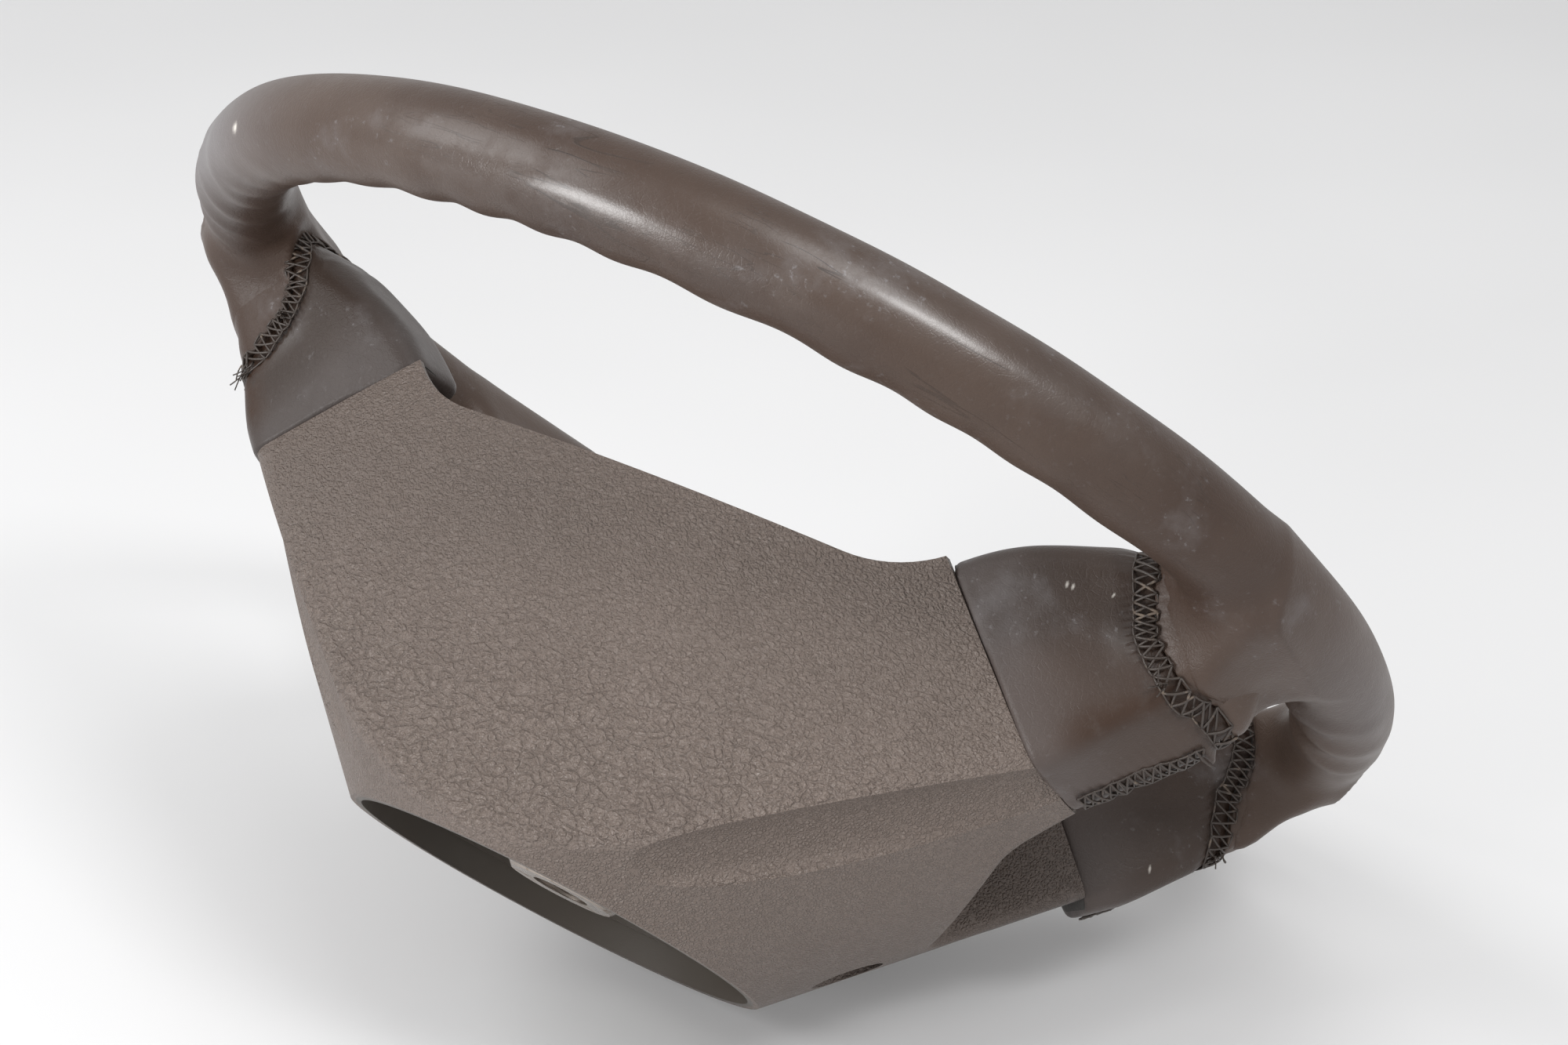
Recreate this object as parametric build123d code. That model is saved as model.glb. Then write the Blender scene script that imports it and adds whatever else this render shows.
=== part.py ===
from build123d import *
from math import cos, hypot, radians, sin, sqrt

# Four-spoke car steering wheel with a deep hub, a leather rim and a sprung horn pad.
# Millimetres. +Y runs along the column towards the car, +Z is twelve o'clock, +X the driver's right.
# The origin is on the column axis at the column end of the hub boss.
# Depths are measured from the plane of the rim towards the column.

# Rim
RIM_RING_RADIUS = 185.0
RIM_TUBE_RADIUS = 14.8
LEATHER = 1.3
LEATHER_CLEARANCE = 0.15
CORE_ROD_RADIUS = 5.0
CORE_CLEARANCE = 0.1

# Spider, the cast hub disc with its four spokes
DISC_DEPTH = 118.0
DISC_THICKNESS = 10.0
DISC_RADIUS = 58.0
DISC_RIB_RADIUS = 44.0
DISC_RIB_WIDTH = 5.0
DISC_RIB_HEIGHT = 4.0
SPOKE_WIDTH_HUB = 22.0
SPOKE_WIDTH_KNEE = 19.0
SPOKE_WIDTH_RIM = 14.0
SPOKE_THICKNESS = 9.0
SPOKE_RIB_WIDTH = 5.0
SPOKE_RIB_HEIGHT = 5.0
SPOKE_START_RADIUS = 45.0
KNEE_RADIUS = 88.0
KNEE_RISE = 6.0

# Hub boss, a turned steel bush that stands back from the disc's front face
BOSS_REACH = 28.0
BOSS_RADIUS = 18.0
BOSS_BORE_RADIUS = 9.0
BOSS_CHAMFER = 1.6
BOSS_FLANGE_RADIUS = 25.0
BOSS_FLANGE = 4.0
BOSS_CLEARANCE = 0.05

# Arms, the padded outer halves of the spokes: where each one leaves the shroud and where it meets the rim.
# Section corners run front top, back top, back bottom, front bottom, from the arm's middle line.
UPPER_SEAM = (117.0, 46.5, 44.5)
UPPER_SEAM_NORMAL = (0.69, -0.70, 0.10)
UPPER_CLOCK = 76.0
UPPER_SEAM_CORNERS = ((-33.0, 19.5), (30.0, 9.0), (36.5, -23.0), (-33.0, -11.5))
UPPER_LACE_CORNERS = ((-17.0, 18.0), (21.0, 8.5), (31.0, -23.0), (-24.0, -10.5))
UPPER_ROOT_CORNERS = ((-11.5, 22.0), (11.5, 22.0), (11.5, -22.0), (-11.5, -22.0))
LOWER_SEAM = (102.5, 58.0, -66.5)
LOWER_SEAM_NORMAL = (0.62, -0.70, -0.34)
LOWER_CLOCK = 123.0
LOWER_SEAM_CORNERS = ((-20.5, 28.0), (34.5, 4.0), (20.5, -28.0), (-34.5, -4.0))
LOWER_LACE_CORNERS = ((-14.0, 25.0), (28.0, 6.0), (14.0, -25.0), (-28.0, -6.0))
LOWER_ROOT_CORNERS = ((-1.5, 25.0), (19.5, 15.5), (1.5, -25.0), (-19.5, -15.5))
ARM_SEAM_ROUND = 6.0
ARM_LACE_ROUND = 10.0
ARM_ROOT_ROUND = 9.0
ARM_ROOT_DEPTH = 5.0
LACE_AT = 0.62
LACE_GAP = 1.0
SEAM_GAP = 0.4

# Rear shroud, one hollow moulding
SHROUD_WALL = 2.6
COLLAR_COVER = 4.0
COLLAR_RADIUS = 68.0
CONE_SLOPE = 0.98
CROWN_TOP = 72.5
CROWN_RADIUS = 500.0
RIDGE_ROUND = 9.0
COVE_RADIUS = 22.0
COVE_BITE = 2.6
COVE_OFFSET = 11.0
COVE_START_X = 48.0
COVE_END_X = 138.0
WINDOW_ROUND = 4.0
FRONT_EDGE_DEPTH = 35.4
FRONT_FLAT_X = 66.0
FRONT_HORN_X = 95.0
FRONT_HORN_DEPTH = 23.0
OUTLINE_SPARE = 43.0
WINDOW_CREST = (128.0, 16.0)
WINDOW_CROTCH = (96.0, -41.0)
WINDOW_UPPER_RISE = 0.36
WINDOW_LOWER_FALL = 0.45
LOWER_EDGE_START = (64.0, -72.0)
LOWER_EDGE_FALL = 0.41
BOTTOM_EDGE = -78.0
CREST_ROUND = 14.0
CROTCH_ROUND = 5.0
BOTTOM_ROUND = 16.0
SKIRT_WALL = 2.2
SKIRT_LENGTH = 20.0
SKIRT_STEP = 1.2
SKIRT_STEP_DEPTH = 9.0
ACCESS_X = 82.0
ACCESS_Z = -30.0
ACCESS_RADIUS = 7.8
ACCESS_WALL = 2.0
ACCESS_TUBE = 24.0

# Shroud fixings: four screws through the spokes into the shroud's posts
POST_SPOKE_RADIUS = 78.0
POST_RADIUS = 6.5
POST_PAD_RADIUS = 8.0
POST_PAD_HEIGHT = 3.0
POST_CLEARANCE = 0.1
SCREW_RADIUS = 2.5
SCREW_CLEARANCE = 0.2
SCREW_HEAD_RADIUS = 4.5
SCREW_HEAD = 3.0
SCREW_ENGAGEMENT = 8.0

# Horn: floating plate on guide bolts and coil springs
HORN_TRAVEL = 2.5
HORN_SPARE = 0.3
PLATE_STAND_OFF = 18.0
PLATE = 2.0
PLATE_HALF_X = 58.0
PLATE_HALF_Z = 45.0
PLATE_BAR = 11.0
PLATE_CORNER = 10.0
EAR_RADIUS = 8.0
GUIDE_X = 34.0
GUIDE_Z = 38.5
GUIDE_RADIUS = 3.0
GUIDE_HEAD_RADIUS = 5.5
GUIDE_HEAD = 3.0
GUIDE_THREAD = 7.0
BUSH_WALL = 1.3
BUSH_FLANGE = 1.2
BUSH_FLANGE_RADIUS = 6.5
BUSH_CLEARANCE = 0.08
SEAT_CLEARANCE = 0.05
SPRING_WIRE = 1.2
SPRING_RADIUS = 5.3
SPRING_TURNS = 4
SPRING_CLEARANCE = 0.1
CONTACT_X = 52.5
CONTACT_Z = -6.0
CONTACT_RADIUS = 2.6
CONTACT_SHANK_RADIUS = 1.6
CONTACT_HEAD = 1.6

# Pad module
CAN_HALF_X = 62.0
CAN_HALF_Z = 46.0
CAN_WALL = 1.6
CAN_LENGTH = 40.0
CAN_CORNER = 10.0
INFLATOR_RADIUS = 36.0
INFLATOR_FRONT = 30.0
INFLATOR_BACK = 9.0
INFLATOR_FLANGE = 2.0
INFLATOR_FLANGE_RADIUS = 44.0
INFLATOR_ROUND = 5.0
MODULE_CLEARANCE = 0.3
RETAINER = 2.0
STUD_CIRCLE = 40.0
STUD_RADIUS = 2.0
NUT_FLATS = 7.0
NUT_HEIGHT = 3.2
CUSHION_FRONT = 34.0
CUSHION_CORNER = 8.0
PAD_CROWN_DEPTH = 24.0
PAD_CROWN_RADIUS = 190.0
PAD_WALL = 3.0
PAD_EDGE_GAP = 1.0
PAD_END_GAP = 1.5
PAD_RIM = 9.0
PAD_SKIRT_WALL = 2.4
PAD_SKIRT_OVERLAP = 24.0
RIVET_RADIUS = 2.0
RIVET_HEAD_RADIUS = 3.8
RIVET_HEAD = 1.2
RIVET_SPACING = 34.0
RIVET_INSET = 12.0
MODULE_SCREW_RADIUS = 3.0
MODULE_SCREW_HEAD_RADIUS = 5.5
MODULE_SCREW_HEAD = 4.0
MODULE_SCREW_TIP = 1.5
WELD_NUT_RADIUS = 5.5
WELD_NUT_HEIGHT = 6.0
SOCKET_RADIUS = 2.6
SOCKET_DEPTH = 2.0

# Depths that follow the hub disc
KNEE_DEPTH = DISC_DEPTH - KNEE_RISE
BOSS_END_DEPTH = DISC_DEPTH + BOSS_REACH
COLLAR_DEPTH = BOSS_END_DEPTH + COLLAR_COVER
PLATE_DEPTH = DISC_DEPTH - PLATE_STAND_OFF

FAR = 300.0
SIDES = (-1, 1)
CORNERS = [(sx, sz) for sx in SIDES for sz in SIDES]


def at_depth(depth):
    """Y of a plane this far behind the rim plane."""
    return depth - BOSS_END_DEPTH


def facing_driver(depth, x=0.0, z=0.0):
    """Sketch plane at a depth, with local x along +X and local y along +Z; it extrudes towards the driver."""
    return Plane(origin=(x, at_depth(depth), z), x_dir=(1, 0, 0), z_dir=(0, -1, 0))


def slab(outline, depth_front, depth_back):
    """Prism of an outline drawn in X and Z, between two depths."""
    return extrude(facing_driver(depth_back) * outline, depth_back - depth_front, dir=(0, -1, 0))


def rod(depth_front, depth_back, radius, x=0.0, z=0.0):
    """Cylinder along the column axis between two depths."""
    return slab(Pos(x, z) * Circle(radius), depth_front, depth_back)


def tube(depth_front, depth_back, outer, inner, x=0.0, z=0.0):
    return slab(Pos(x, z) * (Circle(outer) - Circle(inner)), depth_front, depth_back)


def union(pieces):
    pieces = list(pieces)
    return pieces[0] + pieces[1:] if len(pieces) > 1 else pieces[0]


def group(solids):
    """Like pieces that share a node, as separate solids."""
    return Compound(children=[solid for shape in solids for solid in shape.solids()])


def save(node, shape):
    export_step(shape, f"parts/{node}.step")


# Arm forms
class Arm:
    """One padded arm, from the shroud's seam to the rim, as a loft of round-cornered sections."""

    def __init__(self, level, side, seam, normal, clock, seam_corners, lace_corners, root_corners):
        self.name = f"{level}_{'left' if side < 0 else 'right'}"
        self.side = side
        self.seam = Vector(side * seam[0], at_depth(seam[1]), seam[2])
        self.normal = Vector(side * normal[0], normal[1], normal[2]).normalized()
        self.outward = Vector(side * sin(radians(clock)), 0, cos(radians(clock)))
        self.root = self.outward * RIM_RING_RADIUS + Vector(0, at_depth(ARM_ROOT_DEPTH), 0)
        self.reach = (self.root - self.seam).length
        self.root_normal = (self.root - self.seam).normalized()
        self.seam_corners = seam_corners
        self.lace_corners = lace_corners
        self.root_corners = root_corners

    def plane(self, share):
        """Section plane at a share of the arm's length: x across the arm's depth, z along the arm."""
        turn = max(share, 0.0)
        direction = (self.normal * (1 - turn) + self.root_normal * turn).normalized()
        straight = self.normal * (self.reach * share * (1 - turn))
        chord = (self.root - self.seam) * (share * turn)
        across = Vector(0, 0, 1).cross(direction) * self.side
        return Plane(origin=self.seam + straight + chord, x_dir=across, z_dir=direction)

    def section(self, share, corners, rounding, grow):
        outline = Polygon(*[(x, self.side * y) for x, y in corners], align=None)
        outline = fillet(outline.vertices(), rounding)
        return self.plane(share) * (offset(outline, grow) if grow else outline)

    def body(self, grow=0.0):
        """The arm's solid from inside the shroud to the middle of the rim, grown or shrunk all round."""
        sections = [
            self.section(-0.25, self.seam_corners, ARM_SEAM_ROUND, grow),
            self.section(0.0, self.seam_corners, ARM_SEAM_ROUND, grow),
            self.section(LACE_AT, self.lace_corners, ARM_LACE_ROUND, grow),
            self.section(1.0, self.root_corners, ARM_ROOT_ROUND, grow),
        ]
        return loft(sections)

    def beyond(self, share, gap=0.0):
        """Everything on the rim side of a section plane, moved along the arm by a gap."""
        return extrude(self.plane(share).offset(gap) * Rectangle(FAR, FAR), FAR)


UPPER_ENDS = (UPPER_SEAM, UPPER_SEAM_NORMAL, UPPER_CLOCK)
LOWER_ENDS = (LOWER_SEAM, LOWER_SEAM_NORMAL, LOWER_CLOCK)
UPPER = (*UPPER_ENDS, UPPER_SEAM_CORNERS, UPPER_LACE_CORNERS, UPPER_ROOT_CORNERS)
LOWER = (*LOWER_ENDS, LOWER_SEAM_CORNERS, LOWER_LACE_CORNERS, LOWER_ROOT_CORNERS)
ARMS = [Arm(level, side, *sizes) for level, sizes in (("upper", UPPER), ("lower", LOWER)) for side in SIDES]


# Rim core, a steel rod bent to a ring
def ring(radius):
    """Solid ring of the rim with this tube radius."""
    return Pos(0, at_depth(0), 0) * Rot(90, 0, 0) * Torus(RIM_RING_RADIUS, radius)


# Spider
def guide_places():
    return [(sx * GUIDE_X, sz * GUIDE_Z) for sx, sz in CORNERS]


def spoke(arm, grow=0.0):
    """Cast spoke with a stiffening rib on its column side, from the hub disc over a knee to the rim core."""
    start = arm.outward * SPOKE_START_RADIUS + Vector(0, at_depth(DISC_DEPTH + DISC_THICKNESS / 2), 0)
    knee = arm.outward * KNEE_RADIUS + Vector(0, at_depth(KNEE_DEPTH), 0)
    bend = arm.plane(0.0).origin
    end = arm.outward * RIM_RING_RADIUS + Vector(0, at_depth(0), 0)
    path = [start, knee, bend, end]
    headings = [knee - start, bend - start, end - knee, end - bend]
    widths = [SPOKE_WIDTH_HUB, SPOKE_WIDTH_KNEE, SPOKE_WIDTH_RIM, SPOKE_WIDTH_RIM]
    flanges = []
    ribs = []
    for centre, heading, width in zip(path, headings, widths):
        across = Vector(0, 0, 1).cross(heading) * arm.side
        plane = Plane(origin=centre, x_dir=across, z_dir=heading)
        flanges.append(plane * Rectangle(SPOKE_THICKNESS + 2 * grow, width + 2 * grow))
        rib = Rectangle(SPOKE_THICKNESS + SPOKE_RIB_HEIGHT + 2 * grow, SPOKE_RIB_WIDTH + 2 * grow)
        ribs.append(plane * Pos(SPOKE_RIB_HEIGHT / 2, 0) * rib)
    return loft(flanges, ruled=True) + loft(ribs, ruled=True)


def post_place(arm):
    """X, Z and spoke depth where the arm's shroud post stands on the spoke."""
    share = (POST_SPOKE_RADIUS - SPOKE_START_RADIUS) / (KNEE_RADIUS - SPOKE_START_RADIUS)
    disc_middle = DISC_DEPTH + DISC_THICKNESS / 2
    depth = disc_middle + (KNEE_DEPTH - disc_middle) * share
    spot = arm.outward * POST_SPOKE_RADIUS
    return spot.X, spot.Z, depth


PAD_TOP = SPOKE_THICKNESS / 2 + SPOKE_RIB_HEIGHT + POST_PAD_HEIGHT
BOSS_FRONT_DEPTH = DISC_DEPTH - BOSS_FLANGE
FIXED_CONTACT_TOP = PLATE_DEPTH + PLATE + CONTACT_HEAD + HORN_TRAVEL + HORN_SPARE


def make_spider():
    disc_back = DISC_DEPTH + DISC_THICKNESS
    rib_outer = DISC_RIB_RADIUS + DISC_RIB_WIDTH / 2
    rib_inner = DISC_RIB_RADIUS - DISC_RIB_WIDTH / 2
    spider = rod(DISC_DEPTH, disc_back, DISC_RADIUS)
    spider += tube(disc_back, disc_back + DISC_RIB_HEIGHT, rib_outer, rib_inner)
    spider = union([spider] + [spoke(arm) for arm in ARMS])
    for arm in ARMS:
        x, z, depth = post_place(arm)
        spider += rod(depth, depth + PAD_TOP, POST_PAD_RADIUS, x, z)
        spider -= rod(0, FAR, SCREW_RADIUS + SCREW_CLEARANCE, x, z)
        seat = depth - SPOKE_THICKNESS / 2 + SCREW_HEAD
        spider -= rod(0, seat, SCREW_HEAD_RADIUS + SCREW_CLEARANCE, x, z)
    spider -= rod(0, FAR, BOSS_RADIUS + BOSS_CLEARANCE)
    for x, z in guide_places():
        spider -= rod(DISC_DEPTH, DISC_DEPTH + GUIDE_THREAD, GUIDE_RADIUS + SEAT_CLEARANCE, x, z)
    for sx in SIDES:
        spider -= rod(0, FAR, CONTACT_SHANK_RADIUS + SEAT_CLEARANCE, sx * CONTACT_X, CONTACT_Z)
    return spider - ring(CORE_ROD_RADIUS + CORE_CLEARANCE)


def make_boss():
    boss = rod(BOSS_FRONT_DEPTH, BOSS_END_DEPTH, BOSS_RADIUS)
    boss += rod(BOSS_FRONT_DEPTH, DISC_DEPTH, BOSS_FLANGE_RADIUS)
    boss = chamfer(boss.edges().group_by(Axis.Y)[-1], BOSS_CHAMFER)
    return boss - rod(0, FAR, BOSS_BORE_RADIUS)


# Foam and leather
def make_foam():
    skin = LEATHER + LEATHER_CLEARANCE
    stubs = [arm.body(-skin) & arm.beyond(0.0, SEAM_GAP) for arm in ARMS]
    foam = union([ring(RIM_TUBE_RADIUS - skin)] + stubs)
    foam -= ring(CORE_ROD_RADIUS + CORE_CLEARANCE)
    for arm in ARMS:
        foam -= spoke(arm, CORE_CLEARANCE)
    return foam


def make_rim_leather():
    roots = [arm.body() & arm.beyond(LACE_AT, LACE_GAP / 2) for arm in ARMS]
    hollows = [arm.body(-LEATHER) for arm in ARMS]
    cover = union([ring(RIM_TUBE_RADIUS)] + roots)
    return cover - union([ring(RIM_TUBE_RADIUS - LEATHER)] + hollows)


def make_boot(arm):
    sleeve = (arm.body() & arm.beyond(0.0, SEAM_GAP)) - arm.beyond(LACE_AT, -LACE_GAP / 2)
    return sleeve - arm.body(-LEATHER)


# Rear shroud
def crown_disc():
    """Face whose upper edge is the crown of the shroud."""
    return Pos(0, CROWN_TOP - CROWN_RADIUS) * Circle(CROWN_RADIUS)


def side_outline():
    """Window, arm and bottom edges of the shroud seen along the column, open above the crown."""
    crest_x, crest_z = WINDOW_CREST
    crotch_x, crotch_z = WINDOW_CROTCH
    edge_x, edge_z = LOWER_EDGE_START
    side = UPPER_SEAM[0] + OUTLINE_SPARE
    half = Polygon(
        (0, side),
        (side, side),
        (side, crest_z + (side - crest_x) * WINDOW_UPPER_RISE),
        (crest_x, crest_z),
        (crotch_x, crotch_z),
        (side, crotch_z - (side - crotch_x) * WINDOW_LOWER_FALL),
        (side, edge_z - (side - edge_x) * LOWER_EDGE_FALL),
        (edge_x, edge_z),
        (0, BOTTOM_EDGE),
        align=None,
    )
    rounds = {WINDOW_CREST: CREST_ROUND, WINDOW_CROTCH: CROTCH_ROUND, LOWER_EDGE_START: BOTTOM_ROUND}
    for point, radius in rounds.items():
        corner = half.vertices().sort_by_distance((point[0], point[1], 0))[0]
        half = fillet(corner, radius)
    return half + mirror(half, Plane.YZ)


def shroud_outline(inset):
    """Whole outline of the shroud seen along the column, set in from its outer faces."""
    return offset(side_outline() & crown_disc(), -inset)


def funnel(inset):
    """The cone of the shroud's back, from the collar forward past the rim plane."""
    drop = inset * hypot(1, CONE_SLOPE)
    back = at_depth(COLLAR_DEPTH)
    front = at_depth(0)
    collar = COLLAR_RADIUS - drop
    mouth = collar + CONE_SLOPE * COLLAR_DEPTH
    profile = Polygon((0, back), (collar, back), (mouth, front), (0, front), align=None)
    return revolve(profile, Axis.Y)


def ridge_point(x):
    """Where the crown meets the cone, this far from the middle."""
    z = CROWN_TOP - CROWN_RADIUS + sqrt(CROWN_RADIUS**2 - x**2)
    return Vector(x, at_depth(COLLAR_DEPTH - (hypot(x, z) - COLLAR_RADIUS) / CONE_SLOPE), z)


def coves(grow):
    """Round cutters for the hollows under the ridge, deepest at the seams and fading towards the collar."""
    start = ridge_point(COVE_START_X)
    end = ridge_point(COVE_END_X)
    centres = []
    for point, bite in ((start, 0.0), (end, COVE_BITE)):
        outward = Vector(point.X, 0, point.Z).normalized()
        normal = (outward + Vector(0, CONE_SLOPE, 0)).normalized()
        down = normal.cross(end - start).normalized()
        centres.append(point + down * COVE_OFFSET + normal * (COVE_RADIUS - bite))
    plane = Plane(origin=centres[0], z_dir=centres[1] - centres[0])
    cutter = extrude(plane * Circle(COVE_RADIUS + grow), FAR)
    return cutter + mirror(cutter, Plane.YZ)


def shroud_form():
    """The shroud's outer form, filled: crown over cone, with a round ridge, coves and soft window edges."""
    dome = slab(crown_disc(), 0, COLLAR_DEPTH) & funnel(0)
    ridge = dome.edges().filter_by(lambda e: e.geom_type not in (GeomType.LINE, GeomType.CIRCLE))
    dome = fillet(ridge, RIDGE_ROUND)
    form = dome & slab(side_outline(), 0, COLLAR_DEPTH)
    cone_edges = form.edges().filter_by(lambda e: e.geom_type not in (GeomType.LINE, GeomType.CIRCLE))
    windows = [e for e in cone_edges if e.center().Z < CROWN_TOP / 4]
    return fillet(windows, WINDOW_ROUND) - coves(0)


def front_trim():
    """Everything behind the shroud's front edge, which curves forward towards the arms."""
    edge = at_depth(FRONT_EDGE_DEPTH)
    horn = at_depth(FRONT_HORN_DEPTH)
    flat = Line((-FRONT_FLAT_X, edge), (FRONT_FLAT_X, edge))
    right = TangentArc((FRONT_FLAT_X, edge), (FRONT_HORN_X, horn), tangent=(1, 0))
    left = mirror(right, Plane.YZ)
    far_right = [(FRONT_HORN_X, horn), (FAR, horn), (FAR, FAR)]
    far_left = [(-FAR, FAR), (-FAR, horn), (-FRONT_HORN_X, horn)]
    outline = make_face([flat, right, left, Polyline(*far_right, *far_left)])
    return extrude(Pos(0, 0, -FAR / 2) * outline, FAR, dir=(0, 0, 1))


def make_shroud():
    outer = shroud_form()
    hollow = slab(shroud_outline(SHROUD_WALL), -1, COLLAR_DEPTH) & funnel(SHROUD_WALL)
    shell = outer - (hollow - coves(SHROUD_WALL))
    mouth = COLLAR_RADIUS - SHROUD_WALL * hypot(1, CONE_SLOPE)
    skirt_end = COLLAR_DEPTH - SKIRT_LENGTH
    shell += tube(skirt_end, COLLAR_DEPTH, mouth + SKIRT_WALL, mouth - SKIRT_STEP)
    shell -= rod(COLLAR_DEPTH - SKIRT_STEP_DEPTH, FAR, mouth)
    for sx in SIDES:
        sleeve_front = COLLAR_DEPTH - ACCESS_TUBE
        sleeve = rod(sleeve_front, COLLAR_DEPTH, ACCESS_RADIUS + ACCESS_WALL, sx * ACCESS_X, ACCESS_Z)
        shell += sleeve & outer
    for sx in SIDES:
        shell -= rod(0, FAR, ACCESS_RADIUS, sx * ACCESS_X, ACCESS_Z)
    for arm in ARMS:
        x, z, depth = post_place(arm)
        foot = depth + PAD_TOP + POST_CLEARANCE
        shell += rod(foot, COLLAR_DEPTH, POST_RADIUS, x, z) & outer
        shell -= rod(foot, foot + SCREW_ENGAGEMENT, SCREW_RADIUS + SEAT_CLEARANCE, x, z)
        shell -= arm.beyond(0.0)
    return shell & front_trim()


def make_shroud_screws():
    screws = []
    for arm in ARMS:
        x, z, depth = post_place(arm)
        seat = depth - SPOKE_THICKNESS / 2 + SCREW_HEAD
        tip = depth + PAD_TOP + POST_CLEARANCE + SCREW_ENGAGEMENT - SEAT_CLEARANCE
        screw = rod(seat - SCREW_HEAD, seat, SCREW_HEAD_RADIUS, x, z) + rod(seat, tip, SCREW_RADIUS, x, z)
        screws.append(screw)
    return group(screws)


# Horn
BUSH_RADIUS = GUIDE_RADIUS + BUSH_CLEARANCE + BUSH_WALL


def ear_outline():
    """Side ears that carry the module screws."""
    inner = CAN_HALF_X / 2
    strap = Pos((ACCESS_X + inner) / 2, ACCESS_Z) * Rectangle(ACCESS_X - inner, 2 * EAR_RADIUS)
    ear = strap + Pos(ACCESS_X, ACCESS_Z) * Circle(EAR_RADIUS)
    return ear + mirror(ear, Plane.YZ)


def make_horn_plate():
    outline = RectangleRounded(2 * PLATE_HALF_X, 2 * PLATE_HALF_Z, PLATE_CORNER) + ear_outline()
    outline -= RectangleRounded(2 * (PLATE_HALF_X - PLATE_BAR), 2 * (PLATE_HALF_Z - PLATE_BAR), PLATE_CORNER)
    outline -= Circle(INFLATOR_RADIUS + MODULE_CLEARANCE)
    for x, z in guide_places():
        outline -= Pos(x, z) * Circle(BUSH_RADIUS + SEAT_CLEARANCE)
    for sx in SIDES:
        outline -= Pos(sx * ACCESS_X, ACCESS_Z) * Circle(MODULE_SCREW_RADIUS + SCREW_CLEARANCE)
        outline -= Pos(sx * CONTACT_X, CONTACT_Z) * Circle(CONTACT_SHANK_RADIUS + SEAT_CLEARANCE)
    return slab(outline, PLATE_DEPTH, PLATE_DEPTH + PLATE)


def make_guide_bolts():
    bolts = []
    head_back = PLATE_DEPTH - SEAT_CLEARANCE
    for x, z in guide_places():
        shank = rod(head_back, DISC_DEPTH + GUIDE_THREAD - SEAT_CLEARANCE, GUIDE_RADIUS, x, z)
        head = rod(head_back - GUIDE_HEAD, head_back, GUIDE_HEAD_RADIUS, x, z)
        socket = rod(head_back - GUIDE_HEAD, head_back - GUIDE_HEAD + SOCKET_DEPTH, SOCKET_RADIUS, x, z)
        bolts.append(shank + head - socket)
    return group(bolts)


def make_guide_bushes():
    bushes = []
    back = PLATE_DEPTH + PLATE
    bore = GUIDE_RADIUS + BUSH_CLEARANCE
    for x, z in guide_places():
        sleeve = tube(PLATE_DEPTH, back, BUSH_RADIUS, bore, x, z)
        flange = tube(back, back + BUSH_FLANGE, BUSH_FLANGE_RADIUS, bore, x, z)
        bushes.append(sleeve + flange)
    return group(bushes)


def make_springs():
    front = PLATE_DEPTH + PLATE + BUSH_FLANGE + SPRING_CLEARANCE + SPRING_WIRE / 2
    back = DISC_DEPTH - SPRING_CLEARANCE - SPRING_WIRE / 2
    pitch = (back - front) / SPRING_TURNS
    coil = Helix(pitch, back - front, SPRING_RADIUS)
    wire = Plane(origin=coil @ 0, z_dir=coil % 0) * Rectangle(SPRING_WIRE, SPRING_WIRE)
    spring = sweep(wire, coil, is_frenet=True)
    turned = Pos(0, at_depth(front), 0) * Rot(-90, 0, 0) * spring
    return group([Pos(x, 0, z) * turned for x, z in guide_places()])


def make_fixed_contacts():
    pins = []
    for sx in SIDES:
        pin = rod(FIXED_CONTACT_TOP, DISC_DEPTH, CONTACT_RADIUS, sx * CONTACT_X, CONTACT_Z)
        shank_end = DISC_DEPTH + DISC_THICKNESS
        pins.append(pin + rod(DISC_DEPTH, shank_end, CONTACT_SHANK_RADIUS, sx * CONTACT_X, CONTACT_Z))
    return group(pins)


def make_moving_contacts():
    studs = []
    back = PLATE_DEPTH + PLATE
    for sx in SIDES:
        head = rod(back, back + CONTACT_HEAD, CONTACT_RADIUS, sx * CONTACT_X, CONTACT_Z)
        studs.append(head + rod(PLATE_DEPTH, back, CONTACT_SHANK_RADIUS, sx * CONTACT_X, CONTACT_Z))
    return group(studs)


# Pad module
BASE_FRONT = PLATE_DEPTH - CAN_WALL
CAN_FRONT = PLATE_DEPTH - CAN_LENGTH
RETAINER_FRONT = BASE_FRONT - INFLATOR_FLANGE - RETAINER
STUD_OFFSET = STUD_CIRCLE / sqrt(2)
STUD_PLACES = [(sx * STUD_OFFSET, sz * STUD_OFFSET) for sx, sz in CORNERS]
RIVET_DEPTH = CAN_FRONT + RIVET_INSET
RIVET_PLACES = [(x * RIVET_SPACING, sz) for x in (-1, 0, 1) for sz in SIDES]


def rivet_pin(x, sz, near, far, radius):
    """Pin along Z on the top or bottom wall of the can, between two heights from the axis."""
    plane = Plane(origin=(x, at_depth(RIVET_DEPTH), sz * near), x_dir=(1, 0, 0), z_dir=(0, 0, sz))
    return extrude(plane * Circle(radius), far - near)


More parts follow.
